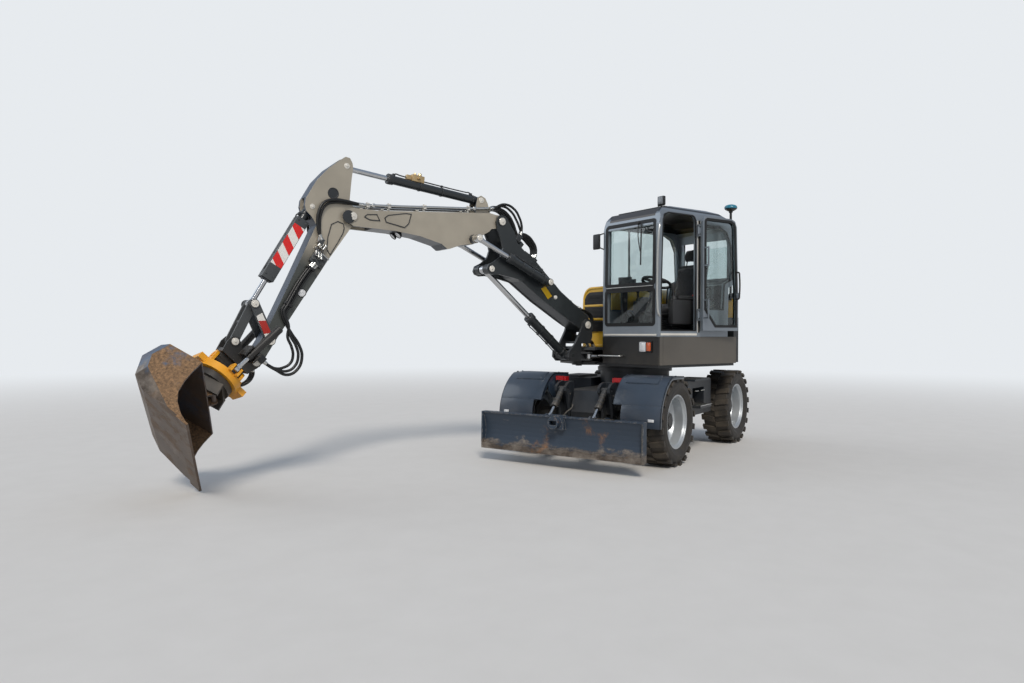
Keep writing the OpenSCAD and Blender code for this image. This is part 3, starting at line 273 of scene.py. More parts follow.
def build_groups():
    """Wear, dust, skin, rust, earth, brushing and the box mask, each built once."""
    g = new_group("Worn edge", {"Radius": 0.004, "Scale": 24.0, "Amount": 0.5}, {"Mask": float})
    bevel = g.node("Bevel", {"Radius": g.given["Radius"]}, samples=4).outputs[0]
    bend = g.vectors("DOT_PRODUCT", bevel, g.node("NewGeometry").outputs["Normal"])
    edge = g.maths("MULTIPLY", g.maths("SUBTRACT", 1.0, bend), 7.0, True)
    ragged = g.spread(g.noise(g.here(), g.given["Scale"], 6.0, 0.7), 0.42, 0.6)
    g.feed(g.result["Mask"], g.maths("MULTIPLY", g.maths("MULTIPLY", edge, ragged), g.given["Amount"], True))

    g = new_group("Settled dust", {"Low": 0.1, "High": 1.1, "Upward": 0.6, "Amount": 0.5, "Scale": 5.0},
                  {"Mask": float})
    up = g.maths("MAXIMUM", g.axes(g.node("NewGeometry").outputs["Normal"])[2], 0.0)
    up = g.maths("MULTIPLY", g.maths("MULTIPLY", up, up), g.given["Upward"])
    height = g.axes(g.here())[2]
    low = g.maths("SUBTRACT", 1.0, g.spread(height, g.given["Low"], g.given["High"]))
    cloud = g.spread(g.noise(g.here(), g.given["Scale"], 7.0, 0.62), 0.3, 0.72, 0.25, 1.2)
    total = g.maths("MULTIPLY", g.maths("ADD", up, low), cloud)
    g.feed(g.result["Mask"], g.maths("MULTIPLY", total, g.given["Amount"], True))

    g = new_group("Paint skin", {"Scale": 1.0}, {"Tone": float, "Height": float})
    cloud = g.noise(g.here(), g.maths("MULTIPLY", g.given["Scale"], 2.2), 3.0)
    g.feed(g.result["Tone"], g.spread(cloud, 0.25, 0.75, 0.88, 1.1))
    g.feed(g.result["Height"], g.noise(g.here(), g.maths("MULTIPLY", g.given["Scale"], 420.0), 2.0))

    g = new_group("Rust bloom", {"Scale": 9.0, "Amount": 0.5}, {"Mask": float, "Color": tuple})
    cloud = g.noise(g.here(), g.given["Scale"], 9.0, 0.68)
    start = g.maths("SUBTRACT", 0.78, g.maths("MULTIPLY", g.given["Amount"], 0.5))
    g.feed(g.result["Mask"], g.spread(cloud, start, g.maths("ADD", start, 0.14)))
    fine = g.noise(g.here(), g.maths("MULTIPLY", g.given["Scale"], 7.0), 5.0, 0.7)
    g.feed(g.result["Color"], g.mix(fine, tint("4a2a18"), tint("8c5730")))

    g = new_group("Earth cake", {"Scale": 6.0, "Amount": 0.5, "Color": (0.15, 0.06, 0.02, 1.0)},
                  {"Mask": float, "Color": tuple, "Height": float})
    cloud = g.noise(g.here(), g.given["Scale"], 10.0, 0.66)
    start = g.maths("SUBTRACT", 0.85, g.maths("MULTIPLY", g.given["Amount"], 0.72))
    g.feed(g.result["Mask"], g.spread(cloud, start, g.maths("ADD", start, 0.12)))
    clod = g.noise(g.here(), g.maths("MULTIPLY", g.given["Scale"], 9.0), 8.0, 0.75)
    dark, pale = g.mix(0.6, g.given["Color"], tint("1e130b")), g.mix(0.45, g.given["Color"], tint("b98f63"))
    g.feed(g.result["Color"], g.mix(g.spread(clod, 0.3, 0.75), dark, pale))
    g.feed(g.result["Height"], g.maths("MULTIPLY", clod, cloud))

    g = new_group("Brushing", {"Scale": 1.0}, {"Tone": float, "Height": float})
    fine = g.noise(g.vectors("MULTIPLY", g.here(), (900.0, 900.0, 60.0)), g.given["Scale"], 3.0)
    g.feed(g.result["Tone"], g.spread(fine, 0.2, 0.8, 0.86, 1.08))
    g.feed(g.result["Height"], fine)

    g = new_group("Inside box", {key: Vector() for key in ("Where", "Middle", "Half")}, {"Mask": float})
    off = g.vectors("ABSOLUTE", g.vectors("SUBTRACT", g.given["Where"], g.given["Middle"]))
    room = g.axes(g.vectors("SUBTRACT", g.given["Half"], off))
    least = g.maths("MINIMUM", g.maths("MINIMUM", room[0], room[1]), room[2])
    g.feed(g.result["Mask"], g.maths("GREATER_THAN", least, 0.0))


FINISH = {}


def new_finish(name, base, metallic=0.0, roughness=0.5):
    """A material's tree, and its shader with plain numbers on it."""
    made = bpy.data.materials.new(name)
    made.use_nodes = True
    made.diffuse_color = base
    shader = made.node_tree.nodes["Principled BSDF"]
    shader.inputs["Base Color"].default_value = base
    shader.inputs["Metallic"].default_value = metallic
    shader.inputs["Roughness"].default_value = roughness
    FINISH[name] = made
    return Tree(made.node_tree), shader


def painted(name, base, metallic=0.0, roughness=0.4, dust=0.5, low=0.1, high=1.1, upward=0.6, wear=1.0,
            bare="77797a", coat=0.0, lining=None, across=None, reflection_fade=None):
    """Paint with a soft edge, worn corners and dust; lining darkens the inside of boxes. Faces that don't look
    sideways in a section can take a second colour, a painted sky reflection and painted shade, and the
    colour can turn to another one along an axis, a painted reflection."""
    p = bpy.context.scene.excavator_finish
    t, shader = new_finish(name, base, metallic, roughness)
    skin = t.group("Paint skin", Scale=1.0)
    worn = t.group("Worn edge", Radius=0.005, Scale=26.0, Amount=wear * p.wear)["Mask"]
    dusty = t.dusty(dust * 1.6, Low=low, High=high, Upward=upward, Scale=4.0)
    colour = t.toned(base, skin["Tone"])
    # the second colour along an axis is a painted reflection of dark surroundings
    if reflection_fade:
        matrix, axis, low, high, other = reflection_fade
        colour = t.mix(t.spread(t.axes(t.placed(matrix))[axis], low, high), colour, other)
    # the second colour on faces that don't look sideways is painted sky reflection and painted shade
    if across:
        matrix, other = across
        colour = t.mix(t.maths("GREATER_THAN", t.sideways(matrix), 0.8), other, colour)
    if lining:
        matrix, boxes = lining
        for middle, half, dark in boxes:
            inside = t.group("Inside box", Where=t.placed(matrix), Middle=middle, Half=half)["Mask"]
            colour = t.mix(inside, colour, dark)
    colour = t.mix(worn, colour, tint(bare))
    t.feed(shader.inputs["Base Color"], t.mix(dusty, colour, tuple(p.dust)))
    t.feed(shader.inputs["Roughness"], t.blend(dusty, t.maths("MULTIPLY", skin["Tone"], roughness), 0.9))
    shader.inputs["Coat Weight"].default_value = coat
    shader.inputs["Coat Roughness"].default_value = 0.12
    t.relief(shader, skin["Height"], 0.08, 0.001, bpy.context.scene.excavator_sizes.edge)


def polished(name, base, roughness, scratch=0.3, dust=0.1):
    """Bare or plated metal, brushed along its length."""
    p = bpy.context.scene.excavator_finish
    t, shader = new_finish(name, base, 1.0, roughness)
    brush = t.group("Brushing", Scale=1.0)
    dusty = t.dusty(dust * 2, Low=0.1, High=1.0, Upward=0.4, Scale=6.0)
    t.feed(shader.inputs["Base Color"], t.mix(dusty, t.toned(base, brush["Tone"]), tuple(p.dust)))
    t.feed(shader.inputs["Roughness"], t.blend(dusty, t.maths("MULTIPLY", brush["Tone"], roughness), 0.85))
    t.relief(shader, brush["Height"], scratch, 0.0003, 0.0015)


def moulded(name, base, roughness=0.55, grain=900.0, dust=0.3, strength=0.25):
    """Moulded plastic or rubber with a fine grain."""
    p = bpy.context.scene.excavator_finish
    t, shader = new_finish(name, base, 0.0, roughness)
    skin = t.group("Paint skin", Scale=1.6)
    dusty = t.dusty(dust * 1.6, Low=0.1, High=1.2, Upward=0.5, Scale=7.0)
    t.feed(shader.inputs["Base Color"], t.mix(dusty, t.toned(base, skin["Tone"]), tuple(p.dust)))
    t.feed(shader.inputs["Roughness"], t.blend(dusty, roughness, 0.92))
    t.relief(shader, t.noise(t.here(), grain, 2.0), strength, 0.0004, 0.002)


def glazed(name, base, roughness=0.02):
    """Clear or tinted glass with a faint film of dust in its roughness."""
    t, shader = new_finish(name, base, 0.0, roughness)
    shader.inputs["Transmission Weight"].default_value = 1.0
    shader.inputs["IOR"].default_value = 1.45
    film = t.spread(t.noise(t.here(), 3.0, 6.0, 0.6), 0.45, 0.8, roughness, roughness + 0.06)
    t.feed(shader.inputs["Roughness"], film)


def lens(name, base, ribs=180.0, roughness=0.12):
    """A moulded lamp lens with ribs under a glossy coat."""
    t, shader = new_finish(name, base, 0.0, roughness)
    wave = t.node("TexWave", {"Vector": t.here(), "Scale": ribs, "Distortion": 0.0}, bands_direction="Z").outputs["Fac"]
    t.feed(shader.inputs["Base Color"], t.mix(wave, t.mix(0.35, base, (0, 0, 0, 1)), base))
    t.relief(shader, wave, 0.4, 0.001)
    shader.inputs["Coat Weight"].default_value = 1.0


def tyre_rubber(key):
    """Rubber of one tyre: bare and dusty lugs outside, rings on the wall, by distance from the axle."""
    p = bpy.context.scene.excavator_finish
    t, shader = new_finish("tyre " + key, tint("1c1c1d"), 0.0, 0.72)
    where = t.axes(t.placed(PLACE["wheel_" + key]))
    radius = t.distance(where[0], where[2])
    tread = t.spread(radius, 0.455, 0.476)
    cloud = t.noise(t.here(), 6.0, 8.0, 0.65)
    fine = t.noise(t.here(), 60.0, 6.0, 0.7)
    dusty = t.maths("MULTIPLY", t.spread(cloud, 0.3, 0.7, 0.2, 1.0), t.blend(tread, 0.12, 0.28), True)
    rubber = t.mix(t.spread(fine, 0.35, 0.7), tint("151516"), tint("242424"))
    t.feed(shader.inputs["Base Color"], t.mix(dusty, rubber, t.mix(fine, tuple(p.dust), tint("6f6250"))))
    t.feed(shader.inputs["Roughness"], t.blend(dusty, 0.62, 0.95))
    rings = t.maths("SINE", t.maths("MULTIPLY", radius, 520.0))
    wall = t.maths("MULTIPLY", t.spread(radius, 0.33, 0.34), t.maths("SUBTRACT", 1.0, t.spread(radius, 0.4, 0.41)))
    height = t.maths("ADD", t.maths("MULTIPLY", t.maths("MULTIPLY", rings, wall), 0.6), fine)
    t.relief(shader, height, 0.5, 0.0015, 0.005)


def worked_steel(name, base, place, earth_colour, earth_scale, earth, gradient, rust, sides=False):
    """Painted steel that digs: paint where it lasts, then rust, bare metal and earth over it. Sides is for
    a bucket, whose flat sides and floor are caked while its bevelled facets keep their paint."""
    t, shader = new_finish(name, base, 0.0, 0.55)
    where = t.placed(place)
    axis, low, high = gradient
    along = t.spread(t.axes(where)[axis], low, high)
    scraped = t.noise(t.vectors("MULTIPLY", where, (6.0, 5.0, 9.0)), 1.0, 8.0, 0.7)
    gone = t.spread(t.maths("ADD", scraped, t.maths("MULTIPLY", along, 0.5)), 0.62, 0.8)
    bloom = t.group("Rust bloom", Scale=7.0, Amount=rust)
    cake = t.group("Earth cake", Scale=earth_scale, Amount=earth, Color=earth_colour)
    worn = t.group("Worn edge", Radius=0.008, Scale=18.0, Amount=0.9)["Mask"]
    colour = t.mix(gone, base, t.mix(t.spread(scraped, 0.35, 0.75), tint("4a4038"), tint("8e857b")))
    colour = t.mix(bloom["Mask"], colour, bloom["Color"])
    colour = t.mix(worn, colour, tint("a39c93"))
    caked = t.maths("MULTIPLY", cake["Mask"], t.blend(along, 0.55, 1.0), True)
    if sides:
        facing = t.sideways(place)
        wall = t.maths("GREATER_THAN", facing, 0.9)
        floor = t.maths("LESS_THAN", facing, 0.3)
        patchy = t.spread(t.noise(where, 3.5, 9.0, 0.68), 0.3, 0.44)
        caked = t.maths("MAXIMUM", t.maths("MULTIPLY", caked, 0.35), t.maths("MULTIPLY", wall, patchy), True)
        smeared = t.maths("MULTIPLY", floor, t.spread(t.noise(where, 2.2, 8.0, 0.7), 0.36, 0.5, 0.35, 0.9))
        colour = t.mix(smeared, colour, t.mix(scraped, tint("3a3029"), tint("6e5a49")))
    t.feed(shader.inputs["Base Color"], t.mix(caked, colour, cake["Color"]))
    metal = t.maths("MULTIPLY", t.maths("MULTIPLY", gone, 0.55), t.maths("SUBTRACT", 1.0, caked), True)
    t.feed(shader.inputs["Metallic"], metal)
    t.feed(shader.inputs["Roughness"], t.blend(caked, t.blend(gone, 0.5, 0.42), 0.95))
    height = t.maths("ADD", t.maths("MULTIPLY", cake["Height"], caked), t.maths("MULTIPLY", scraped, 0.25))
    t.relief(shader, height, 0.7, 0.006, 0.004)


def striped(name, place, slope, band):
    """Reflecting tape with slanted red and white bands, by place along a cylinder or plate."""
    t, shader = new_finish(name, tint("c9221f"), 0.0, 0.32)
    where = t.axes(t.placed(place))
    slant = t.maths("ADD", t.maths("MULTIPLY", where[0], slope[0]), t.maths("MULTIPLY", where[2], slope[1]))
    turn = t.maths("FRACT", t.maths("DIVIDE", t.maths("ADD", slant, 10.0), band * 2))
    red = t.maths("GREATER_THAN", turn, 0.5)
    speck = t.spread(t.noise(t.here(), 30.0, 8.0, 0.7), 0.55, 0.72, 0.0, 0.5)
    colour = t.mix(red, tint("dcdad6"), tint("cf1f1c"))
    t.feed(shader.inputs["Base Color"], t.mix(speck, colour, tint("8b7d6b")))
    t.feed(shader.inputs["Roughness"], t.blend(speck, 0.3, 0.85))
    t.relief(shader, t.node("TexVoronoi", {"Vector": t.here(), "Scale": 420.0}).outputs["Distance"], 0.12, 0.0004)


def woven(name, base):
    """Seat cloth: a small basket weave with a soft nap."""
    t, shader = new_finish(name, base, 0.0, 0.9)
    x, y, z = t.axes(t.here())[:3]
    over = t.maths("MULTIPLY", t.maths("SINE", t.maths("MULTIPLY", t.maths("ADD", x, z), 1600.0)),
                   t.maths("SINE", t.maths("MULTIPLY", t.maths("SUBTRACT", y, z), 1600.0)))
    nap = t.noise(t.here(), 30.0, 6.0, 0.6)
    t.feed(shader.inputs["Base Color"], t.mix(t.spread(nap, 0.3, 0.7), base, tint("34353a")))
    t.relief(shader, t.maths("ADD", over, nap), 0.4, 0.0008)
    shader.inputs["Sheen Weight"].default_value = 0.3


def build_finishes():
    """Every material of the machine."""
    p = bpy.context.scene.excavator_finish
    build_groups()
    cabin = PLACE["cabin"]
    room = (cabin, [((-0.02, 0.55, 2.2), (0.607, 0.413, 0.73), tint("17181a")),
                    ((-0.04, 0.55, 2.95), (0.72, 0.372, 0.135), tint("3a3532"))])
    front = (cabin, [((0.66, 0.6, 1.25), (0.04, 0.7, 0.2), tint("08090a"))])
    pale = dict(metallic=0.35, roughness=0.4, dust=0.1, upward=0.4, wear=0.5, coat=0.3)
    cab = dict(metallic=0.5, roughness=0.33, dust=0.12, upward=0.4, wear=0.3, coat=0.5)
    painted("chassis", tuple(p.chassis), roughness=0.42, dust=0.22, low=0.0, high=0.8)
    painted("guard", tuple(p.guard), roughness=0.33, dust=0.12, low=0.2, high=0.9, upward=0.5, coat=0.4)
    painted("frame dark", tint("2a2d30"), roughness=0.42, dust=0.25, high=1.4)
    painted("boom dark", tuple(p.boom_dark), metallic=0.25, roughness=0.36, dust=0.12, upward=0.5, coat=0.25)
    # the dark colour on the boom's and stick's top, front and under faces is painted sky reflection and painted shade
    painted("boom pale", tuple(p.boom_pale), across=(PLACE["boom_upper"], tint("2c333b")), **pale)
    painted("stick pale", tuple(p.boom_pale), across=(PLACE["stick"], tint("27364a")),
            # the stick turning darker along its length is a painted reflection
            reflection_fade=(PLACE["stick"], 0, 0.42, 0.75, tint("474a47")), **pale)
    painted("cab paint", tuple(p.cab), lining=room, **cab)
    painted("door paint", tuple(p.cab), **cab)
    painted("skirt paint", tuple(p.skirt), metallic=0.3, roughness=0.4, dust=0.12, low=0.9, high=1.5, coat=0.3,
            lining=front)
    painted("hood paint", tuple(p.hood), roughness=0.34, dust=0.15, upward=0.4, wear=0.4, coat=0.5)
    painted("tilter paint", tuple(p.tilter), roughness=0.38, dust=0.3, low=0.2, high=1.6, upward=0.7)
    painted("rim paint", tuple(p.rim), metallic=0.6, roughness=0.38, dust=0.14, low=-0.1, high=0.9, upward=0.3)
    painted("grey iron", tint("303336"), roughness=0.48, dust=0.2, high=0.9)
    painted("tool black", tint("1b1c1e"), roughness=0.42, dust=0.35, low=0.2, high=1.7, upward=0.6, wear=1.3)
    painted("lever grey", tint("45484a"), metallic=0.3, roughness=0.42, dust=0.3, low=0.3, high=1.8, wear=1.2)
    painted("pole black", tint("1a1b1c"), roughness=0.35, dust=0.1)
    painted("teal shell", tint("1f6f86"), roughness=0.35, dust=0.1, wear=0.2, coat=0.3)
    painted("yellow plate", tint("e8b70f"), dust=0.2, wear=0.6)
    painted("cap steel", tint("d9d5cc"), metallic=0.3, roughness=0.36, dust=0.1, wear=0.6, bare="5a5a58", coat=0.2)
    painted("brass", tint("b8a077"), metallic=0.5, roughness=0.38, dust=0.15, wear=0.8)
    polished("chrome", tint("c9cacb"), 0.16, 0.15)
    polished("zinc", tint("cfcfcb"), 0.3)
    moulded("black plastic", tint("17181a"), 0.5)
    moulded("seal rubber", tint("101112"), 0.62, 500.0, 0.15)
    moulded("hose rubber", tint("131415"), 0.42, 700.0, 0.12, 0.35)
    moulded("grey plastic", tint("4b4d50"), 0.5, dust=0.1)
    moulded("trim dark", tint("232426"), 0.6, 600.0, 0.05)
    moulded("white plate", tint("d8d6d0"), 0.45)
    moulded("red pad", tint("a5261c"), 0.5, dust=0.1)
    glazed("window", tint("dfe8e8"))
    for name, code in (("lamp lens", "e6e8ea"), ("work lens", "63686d"), ("amber lens", "d2560c"),
                       ("red lens", "b3121a")):
        lens(name, tint(code))
    woven("seat cloth", tint("202124"))
    for key in AXLES:
        tyre_rubber(key)
    worked_steel("blade steel", tuple(p.guard), PLACE["row"], tuple(p.earth), 3.2, 0.36, (2, 0.34, 0.1), 0.2)
    worked_steel("bucket steel", tint("42546a"), PLACE["turn"], tint("7b644e"), 5.0, 0.5, (2, -0.45, -0.8), 0.12,
                 sides=True)
    striped("boom stripes", PLACE["stick"], (0.86, 0.52), bpy.context.scene.excavator_sizes.band)


NODE_FINISH = {
    "chassis": "chassis_frame side_boxes", "guard": "fenders", "red lens": "tail_lamps",
    "grey iron": "axle_blade axle_steer knuckle_l knuckle_r engine blade_tubes",
    "chrome": "steer_rod blade_rods swing_rod lift_rod adjust_rods stick_rod bucket_rod tilt_rod_l tilt_rod_r",
    "rim paint": "rim_bl rim_br rim_sl rim_sr", "blade steel": "blade",
    "frame dark": "upper_frame counterweight swing_bracket", "hood paint": "hood",
    "black plastic": "louvres console", "skirt paint": "skirts", "grey plastic": "lamps",
    "cab paint": "cab_shell", "window": "cab_glass door_glass", "door paint": "door", "seat cloth": "seat",
    "pole black": "masts", "boom dark": "boom_lower swing_tube lift_tube adjust_tubes stick_tube bucket_tube",
    "boom pale": "boom_upper", "stick pale": "stick", "zinc": "pipes", "lever grey": "levers link",
    "tool black": "hitch tilt_tube_l tilt_tube_r rotor", "tilter paint": "tilt_body", "bucket steel": "bucket",
}

# The body that a section's pieces ride on, where none is given
BODY = {"cabin": "upper", "row": "chassis", "post": "swing_bracket", "tilt": "tilt_body"}
# Outlines drawn in a plane: the axes across and up it, and the one through it
PLANES = {"XZ": (0, 2, 1), "XY": (0, 1, 2), "YZ": (1, 2, 0)}


# ---------------------------------------------------------------- modelling by hand
def let_go():
    """Back to object mode with nothing selected."""
    if bpy.context.object and bpy.context.object.mode != "OBJECT":
        bpy.ops.object.mode_set(mode="OBJECT")
    bpy.ops.object.select_all(action="DESELECT")


def hold(*pieces):
    """Selects only these pieces, the first of them active."""
    let_go()
    for piece in pieces:
        piece.select_set(True)
    bpy.context.view_layer.objects.active = pieces[0]


def thrown_away(piece):
    hold(piece)
    bpy.ops.object.delete()


def settled(piece, matrix):
    """Moves a piece by a matrix and applies the move to its mesh."""
    hold(piece)
    piece.matrix_world = matrix @ piece.matrix_world
    bpy.ops.object.transform_apply(location=True, rotation=True, scale=True)
    return piece


def block(size, at=(0, 0, 0)):
    """A box of this size in millimetres, with its middle at a place."""
    let_go()
    bpy.ops.mesh.primitive_cube_add(size=1, location=Vector(at) * MM, scale=Vector(size) * MM)
    bpy.ops.object.transform_apply(location=True, rotation=True, scale=True)
    return bpy.context.object


def drum(r, length, at=(0, 0, 0), sides=24, axis="Y"):
    """A round bar about an axis, with its middle at a place."""
    let_go()
    turn = {"Y": (math.pi / 2, 0, 0), "Z": (0, 0, 0)}[axis]
    bpy.ops.mesh.primitive_cylinder_add(vertices=sides, radius=r * MM, depth=length * MM,
                                        location=Vector(at) * MM, rotation=turn)
    bpy.ops.object.transform_apply(location=True, rotation=True, scale=True)
    return bpy.context.object


def pick(piece, test):
    """Into edit mode with the faces that pass a test of middle, in millimetres, and direction."""
    hold(piece)
    bpy.ops.object.mode_set(mode="EDIT")
    bpy.ops.mesh.select_mode(type="FACE")
    bpy.ops.mesh.select_all(action="DESELECT")
    bpy.ops.object.mode_set(mode="OBJECT")
    for f in piece.data.polygons:
        f.select = bool(test(f.center / MM, f.normal))
    bpy.ops.object.mode_set(mode="EDIT")


def inset(width, depth=0.0):
    bpy.ops.mesh.inset(thickness=width * MM, depth=depth * MM)


def round_edges(piece, width, segments=2, angle=30):
    hold(piece)
    m = piece.modifiers.new("round", "BEVEL")
    m.width, m.segments, m.limit_method, m.angle_limit = width * MM, segments, "ANGLE", math.radians(angle)
    bpy.ops.object.modifier_apply(modifier=m.name)
    return piece


def eased(size, width, at=(0, 0, 0), segments=2):
    """A block with round edges."""
    return round_edges(block(size, at), width, segments)


def wire(spots, closed):
    """Edges through places in metres, drawn vertex by vertex, left in edit mode and selected."""
    let_go()
    bpy.ops.mesh.primitive_plane_add(size=0.001)
    piece = bpy.context.object
    bpy.ops.object.mode_set(mode="EDIT")
    bpy.ops.mesh.select_mode(type="VERT")
    bpy.ops.mesh.select_all(action="SELECT")
    bpy.ops.mesh.merge(type="CENTER")
    bpy.ops.transform.translate(value=spots[0])
    for a, b in zip(spots, spots[1:] + spots[:1] if closed else spots[1:]):
        bpy.ops.mesh.extrude_region_move(TRANSFORM_OT_translate={"value": b - a})
    bpy.ops.mesh.select_all(action="SELECT")
    if closed:
        bpy.ops.mesh.remove_doubles(threshold=1e-6)
    return piece


def trace(points, plane):
    """A closed wire through flat points of a plane, filled with one face."""
    spots = []
    for point in points:
        spot = Vector((0, 0, 0))
        spot[PLANES[plane][0]], spot[PLANES[plane][1]] = point
        spots.append(spot * MM)
    piece = wire(spots, True)
    bpy.ops.mesh.edge_face_add()
    return piece


def thickened(thick, plane, at):
    """Gives the selected faces a thickness through their plane, with its middle at a place."""
    along = Vector((0, 0, 0))
    along[PLANES[plane][2]] = thick
    bpy.ops.mesh.extrude_region_move(TRANSFORM_OT_translate={"value": along * MM})
    bpy.ops.mesh.select_all(action="SELECT")
    bpy.ops.mesh.normals_make_consistent(inside=False)
    bpy.ops.transform.translate(value=(Vector(at) - along / 2) * MM)
    let_go()


def plate(points, thick, plane="XZ", at=(0, 0, 0)):
    """A flat plate of an outline, its thickness along the plane's own axis."""
    piece = trace(points, plane)
    thickened(thick, plane, at)
    return piece


def ring(points, width, thick, plane="XZ", at=(0, 0, 0)):
    """A flat frame inside an outline: the face is inset, its middle taken out, and the rest given a thickness."""
    piece = trace(points, plane)
    inset(width)
    bpy.ops.mesh.delete(type="FACE")
    bpy.ops.mesh.select_all(action="SELECT")
    thickened(thick, plane, at)
    return piece


def lathe(profile, sides=32):
    """A profile of (radius, height) points spun about Z; one that stays off the axis is closed first."""
    spots = [Vector((r, 0, h)) * MM for r, h in profile]
    piece = wire(spots, profile[0][0] > 0.01 and profile[-1][0] > 0.01)
    bpy.ops.mesh.spin(steps=sides, angle=2 * math.pi, center=(0, 0, 0), axis=(0, 0, 1))
    bpy.ops.mesh.select_all(action="SELECT")
    bpy.ops.mesh.remove_doubles(threshold=2e-6)
    bpy.ops.mesh.normals_make_consistent(inside=False)
    let_go()
    return piece


def aimed(piece, at, direction):
    """Turns a piece that was made about Z along a direction, and puts it at a place in millimetres."""
    turn = Vector(direction).to_track_quat("Z", "Y").to_matrix().to_4x4()
    return settled(piece, Matrix.Translation(Vector(at) * MM) @ turn)


def copied(piece):
    """A copy with its own mesh."""
    made = piece.copy()
    made.data = piece.data.copy()
    bpy.context.scene.collection.objects.link(made)
    return made


def joined(pieces):
    hold(*pieces)
    if len(pieces) > 1:
        bpy.ops.object.join()
    return bpy.context.view_layer.objects.active


def mirrored(piece):
    """A copy across the section's middle plane, with its faces turned outwards again."""
    made = copied(piece)
    made.data.transform(FLIP)
    made.data.flip_normals()
    return made


def both(piece):
    """A piece with its copy across the section's middle plane."""
    return joined([piece, mirrored(piece)])


def fitted(piece, name, place, finish, body="", smooth=35):
    """Puts a piece into its section's frame, and gives it its name, finish and body; None leaves it
    without a body."""
    settled(piece, PLACE[place])
    bpy.ops.object.shade_smooth_by_angle(angle=math.radians(smooth))
    piece.name = piece.data.name = name
    piece.data.materials.clear()
    piece.data.materials.append(FINISH[finish])
    if body is not None:
        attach(piece, body or BODY.get(place, place))
    return piece


def tube_of(points, r, resolution=8, sides=3):
    """A round tube along smooth points, in millimetres, as a mesh with closed ends."""
    let_go()
    curve = bpy.data.curves.new("route", "CURVE")
    curve.dimensions = "3D"
    line = curve.splines.new("BEZIER")
    line.bezier_points.add(len(points) - 1)
    for spot, co in zip(line.bezier_points, points):
        spot.co = Vector(co) * MM
        spot.handle_left_type = spot.handle_right_type = "AUTO"
    curve.resolution_u = resolution
    curve.bevel_depth, curve.bevel_resolution, curve.use_fill_caps = r * MM, sides, True
    piece = bpy.data.objects.new("route", curve)
    bpy.context.scene.collection.objects.link(piece)
    hold(piece)
    bpy.ops.object.convert(target="MESH")
    return bpy.context.view_layer.objects.active


def local(place, other, point):
    """A point of one section, in millimetres, as seen from another."""
    return PLACE[other].inverted() @ (PLACE[place] @ (Vector(point) * MM)) / MM


def carried(place, other):
    """Gives a section's points as seen from another."""
    return lambda *point: tuple(local(place, other, point))


def arc(middle, r, first, last, steps):
    """Points round part of a circle, from one angle to another."""
    return [(middle[0] + r * math.cos(math.radians(first + (last - first) * i / steps)),
             middle[1] + r * math.sin(math.radians(first + (last - first) * i / steps))) for i in range(steps + 1)]


def rounded(x0, x1, z0, z1, r, steps=4):
    """A rectangle's outline with round corners."""
    return (arc((x1 - r, z1 - r), r, 0, 90, steps) + arc((x0 + r, z1 - r), r, 90, 180, steps)
            + arc((x0 + r, z0 + r), r, 180, 270, steps) + arc((x1 - r, z0 + r), r, 270, 360, steps))


def drawn(piece, test, shift):
    """Moves the points of a piece that pass a test; shift gives each one's way, in millimetres."""
    for v in piece.data.vertices:
        co = v.co / MM
        if test(co):
            v.co = (co + Vector(shift(co))) * MM
    return piece


def strip_of(points, thick, width, middle):
    """A bent sheet along a profile in XZ, with its inner side parallel to it, drawn out along Y."""
    inner = []
    for i, (x, z) in enumerate(points):
        a, b = points[max(i - 1, 0)], points[min(i + 1, len(points) - 1)]
        way = Vector((b[0] - a[0], b[1] - a[1])).normalized()
        inner.append((x - way.y * thick, z + way.x * thick))
    return plate(points + inner[::-1], width, "XZ", (0, middle, 0))


# ---------------------------------------------------------------- operators
class Fitting:
    """What each operator shares."""
    bl_options = {"REGISTER", "UNDO"}

    def execute(self, context):
        self.make(context.scene.excavator_finish, context.scene.excavator_sizes)
        let_go()
        return {"FINISHED"}


